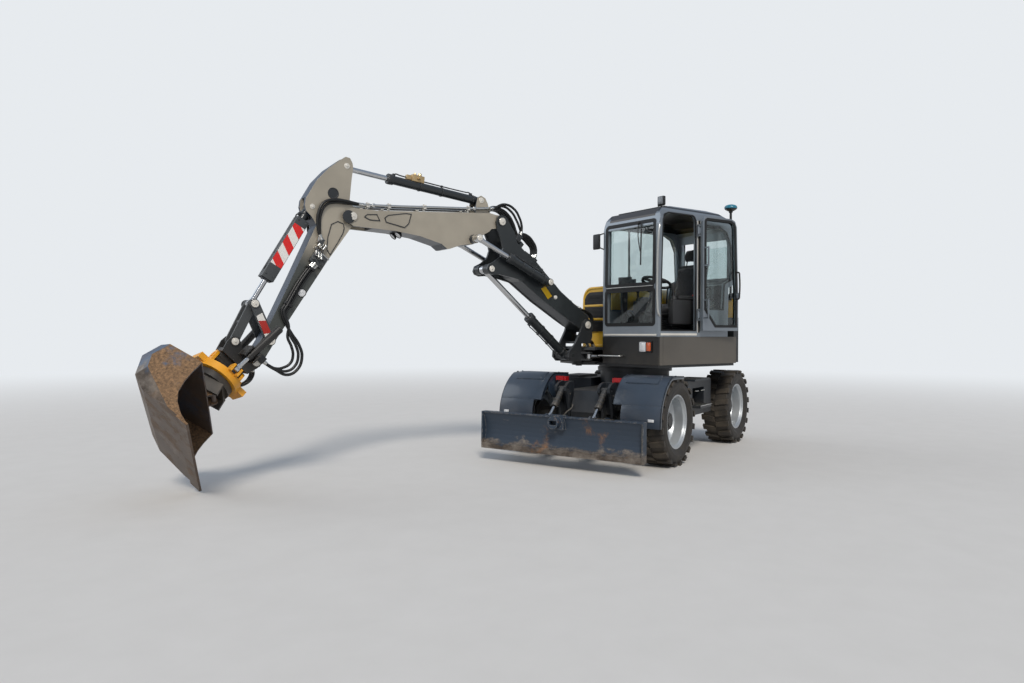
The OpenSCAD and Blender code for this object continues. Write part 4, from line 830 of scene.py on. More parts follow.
class EXCAVATOR_OT_stage(Fitting, bpy.types.Operator):
    """Sets the camera, the floor, the world and the lights."""
    bl_idname = "excavator.stage"
    bl_label = "Stage"

    def make(self, finish, sizes):
        scene = bpy.context.scene
        scene.view_settings.view_transform = "Standard"
        yaw, pitch, roll = (math.radians(a) for a in (CAMERA_YAW, CAMERA_PITCH, CAMERA_ROLL))
        ahead = Vector((-math.cos(yaw) * math.cos(pitch), -math.sin(yaw) * math.cos(pitch), math.sin(pitch)))
        let_go()
        bpy.ops.object.camera_add(location=Vector(CAMERA_AT) + Vector((SLEW_AT.x, SLEW_AT.y, 0)))
        camera = bpy.context.object
        camera.rotation_euler = (ahead.to_track_quat("-Z", "Y").to_matrix().to_4x4()
                                 @ Matrix.Rotation(roll, 4, "Z")).to_euler()
        camera.data.sensor_width, camera.data.lens = SENSOR_MM, SENSOR_MM * FOCAL_PX / PHOTO_PX
        camera.data.clip_end = 200.0
        scene.camera = camera
        self.floor()
        self.sky(scene)
        for tip, turn, energy, wide, colour in ((48, 128, 2.3, 16, (1.0, 0.94, 0.86)),
                                                (62, 20, 0.5, 40, (0.9, 0.95, 1.0))):
            bpy.ops.object.light_add(type="SUN", rotation=(math.radians(tip), 0, math.radians(turn)))
            sun = bpy.context.object.data
            sun.energy, sun.angle, sun.color = energy, math.radians(wide), colour

    def floor(self):
        let_go()
        bpy.ops.mesh.primitive_grid_add(x_subdivisions=8, y_subdivisions=8, size=160)
        ground = bpy.context.object
        t, shader = new_finish("floor", (0.62, 0.6, 0.57, 1.0), 0.0, 0.9)
        where = t.axes(t.here())
        far = t.distance(where[0], where[1])
        grain = t.noise(t.here(), 3.0, 8.0, 0.6)
        t.feed(shader.inputs["Base Color"], t.mix(grain, (0.6, 0.58, 0.55, 1), (0.66, 0.64, 0.61, 1)))
        sky = t.node("Emission", {"Color": (0.8, 0.83, 0.86, 1.0), "Strength": 1.0}).outputs[0]
        seen = t.maths("MULTIPLY", t.node("LightPath").outputs["Is Camera Ray"], t.spread(far, 6.0, 26.0))
        shown = t.node("MixShader", {0: seen, 1: shader.outputs[0], 2: sky}).outputs[0]
        out = [n for n in t.tree.nodes if n.type == "OUTPUT_MATERIAL"][0]
        t.tree.links.new(shown, out.inputs["Surface"])
        ground.data.materials.append(FINISH["floor"])
        ground.name = "floor"

    def sky(self, scene):
        world = bpy.data.worlds.new("studio")
        scene.world = world
        world.use_nodes = True
        t = Tree(world.node_tree)
        world.node_tree.nodes.clear()
        height = t.axes(t.node("TexCoord").outputs["Generated"])[2]
        dome = t.mix(t.spread(height, -0.1, 0.7), (0.86, 0.87, 0.88, 1), (0.5, 0.6, 0.76, 1))
        light = t.node("Background", {"Color": dome, "Strength": 0.62}).outputs[0]
        shown = t.node("Background", {"Color": (0.8, 0.83, 0.86, 1), "Strength": 1.0}).outputs[0]
        path = t.node("LightPath").outputs
        seen = t.maths("MAXIMUM", path["Is Camera Ray"], path["Is Transmission Ray"])
        out = t.node("MixShader", {0: seen, 1: light, 2: shown}).outputs[0]
        t.tree.links.new(out, t.node("OutputWorld").inputs["Surface"])


class EXCAVATOR_OT_finishes(Fitting, bpy.types.Operator):
    """Builds the materials and gives every node of the frame its own."""
    bl_idname = "excavator.finishes"
    bl_label = "Finishes"

    def make(self, finish, sizes):
        build_finishes()
        wanted = {node: name for name, nodes in NODE_FINISH.items() for node in nodes.split()}
        wanted.update({"tyre_" + key: "tyre " + key for key in AXLES})
        missing = sorted(set(frame["nodes"]) - set(wanted))
        if missing:
            raise RuntimeError(f"no finish for {missing}")
        for name, node in frame["nodes"].items():
            node.data.materials.clear()
            node.data.materials.append(FINISH[wanted[name]])


class EXCAVATOR_OT_mudguards(Fitting, bpy.types.Operator):
    """Arched front mudguards with a turned-in rim, a wall and a reflector."""
    bl_idname = "excavator.mudguards"
    bl_label = "Mudguards"

    def make(self, finish, sizes):
        hub = (AXLES["bl"][0], WHEEL_R)
        low = arc(hub, MUDGUARD_R, -3, 22, 5)
        high = arc(hub, MUDGUARD_R, 22, 64, 8) + [(1240, 990), (1100, 992), (930, 986)]
        shell = [strip_of(low, 16, 462, 791), strip_of(high, 16, 567, 738.5),
                 strip_of(low + high[1:], 34, 12, 1016), strip_of(high, 34, 12, 461),
                 plate([(1100, 972), (1290, 972), (1395, 900), (1380, 780), (1300, 700), (1100, 700)], 18, "XZ",
                       (0, 466, 0)), plate([(1262, 992), (1330, 962), (1402, 912), (1408, 926), (1336, 980),
                                            (1268, 1004)], 380, "XZ", (0, 720, 0))]
        for x in (1130, 1240):
            for y in (478, 1000):
                shell.append(drum(11, 10, (x, y, 995), 6, "Z"))
        left = round_edges(joined(shell), 2.5, 2)
        fitted(mirrored(left), "mudguard_r", "row", "guard")
        left = fitted(left, "mudguard_l", "row", "guard")
        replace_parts(left, "fenders")
        dot = eased((10, 66, 30), 3, (1609, 916, 545))
        fitted(mirrored(dot), "reflector_r", "row", "lamp lens")
        fitted(dot, "reflector_l", "row", "lamp lens")


class EXCAVATOR_OT_wheels(Fitting, bpy.types.Operator):
    """Wheel nuts with their washers, and the valves."""
    bl_idname = "excavator.wheels"
    bl_label = "Wheels"

    def make(self, finish, sizes):
        nut = lathe([(0, 26), (8, 26), (14, 22), (16, 14), (16, 4), (22, 3), (22, 0), (0, 0)], 6)
        nuts = []
        for i in range(NUTS):
            across, up = swing(NUT_CIRCLE_R, 360 / NUTS * i)
            nuts.append(aimed(copied(nut), (across, -36, up), (0, 1, 0)))
        valve = aimed(lathe([(0, 42), (4, 42), (5, 30), (5, 0), (0, 0)], 10), (0, -30, 226), (0, 1, -0.35))
        set_of = joined(nuts + [valve])
        thrown_away(nut)
        for key in AXLES:
            fitted(copied(set_of), "nuts_" + key, "wheel_" + key, "zinc")
        thrown_away(set_of)


class EXCAVATOR_OT_hood(Fitting, bpy.types.Operator):
    """The arched engine hood with its three louvred bands, and its side and rear grilles."""
    bl_idname = "excavator.hood"
    bl_label = "Hood"

    def arch(self, y0, y1, z0, z1, r):
        return [(y1, z0)] + arc((y1 - r, z1 - r), r, 0, 90, 8) + arc((y0 + r, z1 - r), r, 90, 180, 8) + [(y0, z0)]

    def slats(self, y0, y1, z0, z1, x, pitch=17.0):
        rows = []
        z = z0 + pitch / 2
        while z < z1:
            rows.append(plate([(x, z - 5), (x + 9, z - 7), (x + 9, z - 4), (x, z + 2)], y1 - y0, "XZ",
                              (0, (y0 + y1) / 2, 0)))
            z += pitch
        return rows

    def make(self, finish, sizes):
        front = plate(self.arch(-485, 62, 1290, 2066, 165), 445, "YZ", (247, 0, 0))
        pick(front, lambda c, n: n.x > 0.9)
        inset(26)
        inset(3, -14)
        wide = plate(self.arch(-985, 62, 1290, 2062, 190), 795, "YZ", (-368, 0, 0))
        pick(wide, lambda c, n: n.y < -0.9)
        inset(70)
        inset(3, -16)
        let_go()
        corner = -math.sqrt(TAIL_R ** 2 - TAIL_HALF ** 2)
        bow = [(-x, y) for x, y in (swing(TAIL_R, a) for a in range(-42, 43, 6)) if abs(y) < TAIL_HALF - 20]
        rear = plate([(-770, -TAIL_HALF), (corner, -TAIL_HALF)] + bow + [(corner, TAIL_HALF), (-770, TAIL_HALF)],
                     235, "XY", (0, 0, 1782.5))
        drawn(rear, lambda c: c.z > 1890 and c.x < -900, lambda c: (46, 0, -26))
        bars = [block((14, 495, 30), (464, -211, z)) for z in (1647, 1823)]
        shell = round_edges(joined([front, wide, rear] + bars), 9, 3, 40)
        shell = fitted(shell, "hood_shell", "cabin", "hood paint", smooth=40)
        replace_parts(shell, "hood")
        # the dark sheets behind the louvre slats are painted shade, standing for the dark engine bay seen through the
        # gaps
        dark = [block((8, 492, 140), (460, -211, 1560)), block((8, 492, 142), (460, -211, 1735.5)),
                plate(self.arch(-452, 29, 1839, 1998, 120), 8, "YZ", (460, 0, 0))]
        for y0, y1, z0, z1 in ((-448, 25, 1492, 1630), (-448, 25, 1666, 1806), (-440, 17, 1842, 1920),
                               (-400, -23, 1922, 1980)):
            dark += self.slats(y0, y1, z0, z1, 463)
        # the dark sheet behind the side grille's slats is painted shade
        side = block((640, 8, 470), (-368, -973, 1660))
        rows = []
        for i in range(22):
            z = 1450 + i * 20
            rows.append(plate([(-972, z), (-984, z - 6), (-984, z - 3), (-972, z + 6)], 600, "YZ", (-368, 0, 0)))
        back = []
        for z in range(1700, 1850, 18):
            for a in range(-24, 25, 8):
                x, y = swing(TAIL_R + 2, a)
                back.append(settled(eased((8, 178, 9), 2, segments=1), moved(-x, y, z) @ turned(-a, "Z")))
        black = joined(dark + [side] + rows + back)
        black = fitted(black, "hood_grilles", "cabin", "black plastic")
        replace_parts(black, "louvres")
        catch = [eased((60, 14, 34), 4, (-620, -990, 1960)), eased((34, 60, 14), 4, (-300, -460, 2068))]
        for x in (-560, -180):
            catch.append(eased((90, 26, 12), 4, (x, 40, 2068)))
        fitted(joined(catch), "hood_catches", "cabin", "black plastic")


class EXCAVATOR_OT_masts(Fitting, bpy.types.Operator):
    """The two aerial masts with their domed receivers."""
    bl_idname = "excavator.masts"
    bl_label = "Masts"

    def make(self, finish, sizes):
        pole = lathe([(0, 1893), (26, 1893), (26, 1960), (15, 1975), (15, 2290), (20, 2296), (20, 2330), (15, 2336),
                      (15, 2985), (24, 2992), (24, 3010), (0, 3010)], 20)
        under = lathe([(0, 3006), (26, 3006), (40, 3012), (70, 3030), (75, 3042), (0, 3044)], 40)
        dome = lathe([(0, 3040), (77, 3040), (79, 3052), (76, 3066), (62, 3080), (36, 3089), (0, 3092)], 40)
        pair_of = []
        for shape, name, paint in ((pole, "mast", "pole black"), (under, "receiver_base", "pole black"),
                                   (dome, "receiver", "teal shell")):
            for side, tag in ((1, "l"), (-1, "r")):
                made = settled(copied(shape), moved(MAST[0], side * MAST[1], 0))
                pair_of.append(fitted(made, f"{name}_{tag}", "cabin", paint))
            thrown_away(shape)
        feet = joined([eased((90, 60, 70), 6, (MAST[0], s * MAST[1], 1918)) for s in (1, -1)])
        fitted(feet, "mast_feet", "cabin", "pole black")
        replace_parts(pair_of[0], "masts")


class EXCAVATOR_OT_pipes(Fitting, bpy.types.Operator):
    """The steel lines along the upper boom, with their clamps and unions."""
    bl_idname = "excavator.pipes"
    bl_label = "Pipes"

    def make(self, finish, sizes):
        lines, clamps = [], []
        for y in (-104, -70, 70, 104):
            route = [(150, y, 152), (320, y, 142), (700, y, 135), (1450, y, 121), (1600, y, 121), (1690, y, 122)]
            lines.append(tube_of(route, 14, resolution=4, sides=4))
            for x, z in ((320, 142), (1560, 121)):
                lines.append(aimed(lathe([(0, 38), (17, 38), (22, 30), (22, 6), (17, 0), (0, 0)], 6), (x, y, z),
                                   (1, 0, -0.02)))
        for x, z in ((420, 140), (980, 130), (1400, 122), (1640, 121)):
            for s in (1, -1):
                clamps += [block((34, 70, 14), (x, s * 87, z - 16)), block((34, 70, 14), (x, s * 87, z + 14)),
                           block((22, 24, z - 84), (x, s * 87, (z + 60) / 2 + 4)),
                           drum(8, 14, (x, s * 87, z + 26), 6, "Z")]
        steel = fitted(joined(lines), "boom_pipes", "boom_upper", "zinc")
        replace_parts(steel, "pipes")
        fitted(round_edges(joined(clamps), 2, 1), "pipe_clamps", "boom_upper", "cap steel")


class EXCAVATOR_OT_pin_caps(Fitting, bpy.types.Operator):
    """End caps on every pin, each with its bolt."""
    bl_idname = "excavator.pin_caps"
    bl_label = "Pin caps"
    # section, body, place, how far across the cap is, and its radius
    PINS = (("boom_lower", "boom_lower", (LOWER, 0), 164, 44), ("boom_lower", "boom_lower", LIFT_EYE, 164, 36),
            ("boom_lower", "boom_lower", ADJUST_BASE, 290, 36), ("boom_upper", "boom_upper", (UPPER, 0), 134, 40),
            ("boom_upper", "boom_upper", ADJUST_EYE, 272, 34), ("boom_upper", "boom_upper", STICK_BASE, 74, 32),
            ("stick", "stick", STICK_EYE, 92, 30), ("stick", "stick", BUCKET_BASE, 92, 26),
            ("stick", "stick", (1503, 0), 154, 38), ("stick", "levers", BUCKET_EYE, 160, 36),
            ("hitch", "hitch", (0, 0), 132, 40), ("hitch", "hitch", (HITCH, 0), 134, 34),
            ("post", "swing_bracket", (0, FOOT_Z), 176, 46), ("post", "swing_bracket", LIFT_BASE, 140, 40))

    def make(self, finish, sizes):
        h = sizes.cap_h / MM
        groups = {}
        for place, body, (x, z), y, r in self.PINS:
            cap = lathe([(0, h + 7), (8, h + 7), (9, h), (r * 0.55, h), (r * 0.6, h - 1.5), (r * 0.9, h - 1),
                         (r, h * 0.4), (r, -2), (0, -2)], 28)
            left = aimed(cap, (x, y, z), (0, 1, 0))
            groups.setdefault((place, body), []).extend([left, mirrored(left)])
        for (place, body), caps in groups.items():
            fitted(joined(caps), "caps_" + body, place, "cap steel", body=body)


class EXCAVATOR_OT_cab_trim(Fitting, bpy.types.Operator):
    """Rubber round the cab's panes, the wiper, rails, mirror, roof hatch, strips and vents."""
    bl_idname = "excavator.cab_trim"
    bl_label = "Cab trim"

    def lean(self, piece):
        """Follows the windscreen where it leans back."""
        return drawn(piece, lambda c: c.z > 2000,
                     lambda c: (-(c.z - 2000) * 10 / 720 if c.z < 2720 else -10 - (c.z - 2720) * 0.25, 0, 0))

    def make(self, finish, sizes):
        x, seal = CAB["x1"], sizes.seal / MM
        rubber = [self.lean(ring(rounded(132, 958, 2014, 2782, 46), 42, 8, "YZ", (x + 1, 0, 0))),
                  self.lean(ring(rounded(132, 958, 1548, 1992, 46), 40, 8, "YZ", (x + 1, 0, 0))),
                  block((9, 780, 30), (x + 1, 545, 2001))]
        door_hole = [(608, 1490), (610, 1950), (582, 2760), (550, 2832), (485, 2858), (70, 2862), (28, 2845),
                     (2, 2800), (2, 1490)]
        rubber.append(ring(door_hole, seal, 9, "XZ", (0, 1004, 0)))
        quarter = [(-58, 1748), (-58, 2772), (-424, 2772), (-572, 2708), (-656, 2552), (-680, 2130), (-528, 2068),
                   (-510, 1748)]
        rubber.append(ring(quarter, seal + 6, 10, "XZ", (0, 1003, 0)))
        far = [(567, 1740), (557, 2732), (484, 2776), (-424, 2776), (-570, 2712), (-654, 2554), (-676, 2152),
               (-540, 2084), (-518, 2034), (-494, 1740)]
        rubber.append(ring(far, seal + 6, 10, "XZ", (0, 97, 0)))
        rear = [(178, 2144), (922, 2144), (922, 2694), (178, 2694)]
        rubber.append(ring(rear, seal + 6, 10, "YZ", (CAB["x0"] - 1, 0, 0)))
        fitted(joined(rubber), "cab_seals", "cabin", "seal rubber")
        divider = [eased((8, 762, 9), 2, (x + 8, 545, 2012))]
        rail = tube_of([(630, 1000, 2716), (638, 1012, 2700), (652, 1018, 2650), (664, 1012, 2486),
                        (668, 1004, 2102), (664, 1004, 1816), (652, 1006, 1700), (638, 1006, 1672),
                        (630, 1002, 1664)], 12, sides=4)
        steps = [tube_of([(x - 6, 60, 1190), (x + 46, 78, 1190), (x + 50, 110, 1190), (x + 50, 400, 1190),
                          (x + 46, 420, 1190), (x - 6, 430, 1190)], 12, sides=4)]
        hooks = []
        for z in (2716, 1664):
            hooks.append(aimed(lathe([(0, 10), (10, 10), (12, 6), (12, 0), (0, 0)], 16), (628, 1000, z), (0, 1, 0)))
        fitted(joined([rail] + divider + steps + hooks), "cab_rails", "cabin", "zinc")
        wiper = [self.lean(tube_of([(x + 10, 687, 2745), (x + 22, 700, 2600), (x + 20, 732, 2420)], 6, sides=3)),
                 self.lean(eased((12, 14, 480), 3, (x + 14, 738, 2500))),
                 aimed(lathe([(0, 22), (14, 22), (18, 14), (18, 0), (0, 0)], 16), (x - 9, 687, 2752), (1, 0, 0)),
                 eased((54, 60, 44), 8, (x - 60, 690, 2766))]
        glass_mirror = eased((26, 120, 190), 12, (x + 30, 10, 2600))
        mirror = [glass_mirror, tube_of([(x - 14, 100, 2500), (x + 20, 70, 2520), (x + 32, 20, 2560)], 8, sides=3),
                  tube_of([(x - 14, 100, 2700), (x + 20, 70, 2684), (x + 32, 20, 2650)], 8, sides=3)]
        slope = (lambda c: c.x > 400, lambda c: (0, 0, -(c.x - 400) * 0.21))
        hatch = drawn(ring([(236, 225), (400, 225), (514, 225), (514, 875), (400, 875), (236, 875)], 22, 14, "XY",
                           (0, 0, 2947)), *slope)
        lid = drawn(round_edges(plate([(256, 245), (400, 245), (496, 245), (496, 855), (400, 855), (256, 855)], 12,
                                      "XY", (0, 0, 2941)), 3), *slope)
        fitted(joined(wiper + mirror + [hatch, lid]), "cab_fittings", "cabin", "black plastic")
        sill = [eased((620, 10, 26), 3, (300, 1006, 1452)), eased((10, 860, 22), 3, (x + 3, 548, 1446)),
                eased((8, 8, 1330), 2, (-22, 1008, 2140))]
        post = eased((30, 8, 1330), 2, (-46, 1007, 2140))
        fitted(post, "door_post_strip", "cabin", "seal rubber")
        fitted(joined(sill), "cab_strips", "cabin", "cap steel")
        vents = []
        for i in range(6):
            vents.append(eased((90, 8, 9), 2, (-640, 1003, 1520 + 22 * i)))
        for i in range(7):
            vents.append(eased((8, 200, 9), 2, (CAB["x0"] + 148 - 12, 545, 1560 + 24 * i)))
        fitted(joined(vents), "cab_vents", "cabin", "black plastic")


class EXCAVATOR_OT_door_trim(Fitting, bpy.types.Operator):
    """Rubber, frame, handle and latch of the door."""
    bl_idname = "excavator.door_trim"
    bl_label = "Door trim"

    def make(self, finish, sizes):
        wide = [(584, 1536), (586, 1952), (558, 2756), (532, 2808), (480, 2832), (72, 2834), (40, 2814), (30, 2784),
                (30, 1746), (208, 1536)]
        seals = [ring(wide, sizes.seal / MM + 16, 8, "XZ", (0, 1010, 0)),
                 ring(wide, sizes.seal / MM + 16, 8, "XZ", (0, 969, 0))]
        fitted(joined(seals), "door_seals", "door", "seal rubber")
        edge = [(600, 1498), (602, 1950), (574, 2756), (544, 2824), (482, 2849), (74, 2853), (36, 2839), (11, 2796),
                (11, 1498)]
        frame_edge = ring(edge, 9, 7, "XZ", (0, 1011, 0))
        fitted(frame_edge, "door_edge", "door", "cap steel")
        loop = tube_of([(560, 960, 1880), (560, 920, 1890), (560, 912, 1930), (560, 912, 2160), (560, 920, 2200),
                        (560, 960, 2210)], 10, sides=4)
        latch = [eased((90, 16, 46), 6, (552, 1014, 1930)), eased((70, 14, 20), 5, (546, 1027, 1930)),
                 aimed(lathe([(0, 12), (11, 12), (13, 9), (13, 0), (0, 0)], 16), (580, 1018, 1880), (0, 1, 0)),
                 loop]
        fitted(joined(latch), "door_handle", "door", "black plastic")


class EXCAVATOR_OT_lamps(Fitting, bpy.types.Operator):
    """Head lamp with a bright ring, indicator, roof lamp and boom lamps, each with its housing and lens."""
    bl_idname = "excavator.lamps"
    bl_label = "Lamps"

    def round_lamp(self, at, way, r):
        body = aimed(lathe([(0, -34), (r * 0.5, -34), (r * 0.86, -16), (r, 0), (r, 8), (r - 4, 10), (r - 4, 2),
                            (0, 2)], 32), at, way)
        glass = aimed(lathe([(0, 8), (r * 0.6, 7), (r - 5, 4), (r - 5, 0), (0, 0)], 32), at, way)
        return body, glass

    def make(self, finish, sizes):
        x = CAB["x1"]
        housing = block((26, 196, 134), (x - 2, 809, 1308))
        pick(housing, lambda c, n: n.x > 0.9)
        inset(7)
        inset(2, -5)
        let_go()
        holder = [round_edges(housing, 4), eased((40, 96, 104), 9, (508, 919, 2994)),
                  drum(11, 56, (512, 919, 2930), 16, "Z"), eased((60, 60, 12), 4, (512, 919, 2912)),
                  eased((8, 108, 60), 2, (512, 919, 2962))]
        fitted(joined(holder), "lamp_housings", "cabin", "black plastic")
        bright = ring(rounded(725, 829, 1250, 1366, 16), 8, 10, "YZ", (x + 12, 0, 0))
        fitted(bright, "head_lamp_ring", "cabin", "chrome")
        clear = round_edges(plate(rounded(733, 821, 1258, 1358, 12), 12, "YZ", (x + 12, 0, 0)), 4)
        roof = round_edges(plate(rounded(880, 958, 2952, 3038, 8), 10, "YZ", (530, 0, 0)), 3)
        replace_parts(fitted(clear, "head_lamp_lens", "cabin", "lamp lens"), "lamps")
        fitted(roof, "roof_lamp_lens", "cabin", "work lens")
        amber = round_edges(plate(rounded(836, 900, 1258, 1358, 10), 14, "YZ", (x + 12, 0, 0)), 4)
        fitted(amber, "indicator_lens", "cabin", "amber lens")
        under = [((1290, s * 60, -170), (0.75, s * 0.1, -0.65)) for s in (1, -1)]
        for name, place, spots in (("boom_lamp", "boom_upper", under),
                                   ("stick_lamp", "stick", [((944, 100, -3), (0.25, 1, 0))])):
            bodies, glasses = [], []
            for at, way in spots:
                made = self.round_lamp(at, way, 42)
                bodies.append(made[0])
                glasses.append(made[1])
                if place == "boom_upper":
                    bodies.append(block((24, 40, 60), (at[0] - 8, at[1], at[2] + 36)))
                else:
                    bodies.append(drum(26, 30, (at[0], at[1] - 15, at[2]), 20, "Y"))
            fitted(joined(bodies), name + "_housing", place, "black plastic")
            fitted(joined(glasses), name + "_lens", place, "lamp lens")


class EXCAVATOR_OT_inside(Fitting, bpy.types.Operator):
    """The operator's seat in padded cloth, armrests, levers, pedals, screen and floor mat."""
    bl_idname = "excavator.inside"
    bl_label = "Inside of the cab"
    FRAMES = 20

    def pad(self, name, size, at, lean, cap):
        """A cushion: a block with soft corners, remeshed and swollen by a pressure simulation, its movement capped."""
        # smaller than its size by most of what the swelling may add
        piece = block([s - 1.2 * cap for s in size])
        pick(piece, lambda c, n: True)
        bpy.ops.mesh.subdivide(number_cuts=5)
        let_go()
        # the corners are drawn in, the faces stay
        half = [s / 2 for s in size]
        drawn(piece, lambda c: True, lambda c: tuple(
            -c[i] * 0.4 * (abs(c[i - 2]) / half[i - 2] * abs(c[i - 1]) / half[i - 1]) ** 2 for i in range(3)))
        hold(piece)
        mesh = piece.modifiers.new("remesh", "REMESH")
        mesh.mode, mesh.voxel_size = "VOXEL", 0.012
        bpy.ops.object.modifier_apply(modifier="remesh")
        before = [v.co.copy() for v in piece.data.vertices]
        cloth = piece.modifiers.new("swell", "CLOTH")
        cloth.settings.use_pressure = True
        cloth.settings.uniform_pressure_force = 4.0
        cloth.settings.quality = 5
        cloth.settings.effector_weights.gravity = 0.0
        cloth.point_cache.frame_start, cloth.point_cache.frame_end = 1, self.FRAMES
        scene = bpy.context.scene
        for step in range(1, self.FRAMES + 1):
            scene.frame_set(step)
        hold(piece)
        bpy.ops.object.modifier_apply(modifier="swell")
        scene.frame_set(1)
        for v, start in zip(piece.data.vertices, before):
            off = v.co - start
            if off.length > cap * MM:
                v.co = start + off.normalized() * cap * MM
        soft = piece.modifiers.new("soft", "SUBSURF")
        soft.levels = soft.render_levels = 1
        bpy.ops.object.modifier_apply(modifier="soft")
        settled(piece, moved(*at) @ turned(lean, "Y"))
        made = fitted(piece, name, "cabin", "seat cloth", smooth=80)
        return made

    def make(self, finish, sizes):
        x, y, z = -70, 550, CAB["z0"] + 45
        seat = self.pad("seat_cushion", (470, 460, 110), (x + 15, y, z + 292), 0, 22)
        self.pad("seat_back", (110, 440, 540), (x - 318, y, z + 600), -12, 22)
        self.pad("head_rest", (84, 230, 165), (x - 403, y, z + 985), -12, 16)
        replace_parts(seat, "seat")
        frame_parts = [eased((420, 420, 26), 8, (x, y, z + 226)), eased((330, 330, 26), 6, (x, y, z + 14)),
                       eased((60, 430, 560), 18, (x - 365, y, z + 590))]
        back = frame_parts[-1]
        settled(back, moved(-12, 0, 0))
        drawn(back, lambda c: True, lambda c: (-(c.z - z - 590) * 0.21, 0, 0))
        for i in range(7):
            frame_parts.append(eased((340 - 8 * (i % 2), 340 - 8 * (i % 2), 24), 8, (x, y, z + 40 + 26 * i)))
        for s in (1, -1):
            frame_parts.append(tube_of([(x - 360, y + 60 * s, z + 850), (x - 384, y + 60 * s, z + 960)], 7,
                                       sides=3))
            frame_parts.append(eased((400, 90, 300), 22, (x + 130, y + 287 * s, z + 250)))
            frame_parts.append(eased((330, 80, 46), 18, (x + 60, y + 287 * s, z + 424)))
            stickup = lathe([(0, 0), (34, 0), (30, 26), (14, 44), (12, 96), (24, 116), (30, 150), (26, 182),
                             (12, 196), (0, 198)], 20)
            frame_parts.append(aimed(stickup, (x + 270, y + 287 * s, z + 400), (0.12, 0, 1)))
            for i in range(5):
                frame_parts.append(eased((20, 20, 6), 3, (x + 120 + 28 * i, y + 287 * s, z + 450)))
        fitted(joined(frame_parts), "seat_frame", "cabin", "trim dark")
        fitted(self.pedals(z), "cab_controls", "cabin", "trim dark")
        glow = eased((6, 150, 96), 3, (404, 342, z + 610))
        fitted(glow, "screen", "cabin", "grey plastic")
        belt = tube_of([(x - 60, y + 232, z + 350), (x - 100, y + 236, z + 390), (x - 150, y + 232, z + 470)], 12,
                       sides=3)
        fitted(belt, "belt_buckle", "cabin", "red pad")

    def pedals(self, z):
        parts = [eased((900, 700, 12), 4, (120, 550, z + 7))]
        for i in range(12):
            parts.append(eased((880, 14, 5), 2, (120, 270 + 50 * i, z + 15)))
        for y in (360, 440, 660, 740):
            for i in range(4):
                parts.append(eased((8, 60, 9), 2, (446, y, z + 76 + 28 * i)))
            parts.append(eased((12, 66, 150), 5, (455, y, z + 120)))
            parts.append(tube_of([(460, y, z + 190), (520, y, z + 240), (560, y, z + 250)], 9, sides=3))
        return joined(parts)


def along_of(a, b):
    return (Vector(b) - Vector(a)).normalized()


def pin(spot):
    """A pin's place on a section's middle plane, in millimetres."""
    return Vector((spot[0], 0, spot[1]))


def ferrule(at, way, r):
    """A crimped end with its nut, looking along a direction."""
    return aimed(lathe([(0, -46), (r - 3, -46), (r + 3, -42), (r + 4, -8), (r + 2, -6), (r + 6, -4), (r + 7, 12),
                        (r + 3, 16), (r - 4, 18), (0, 18)], 12), at, way)


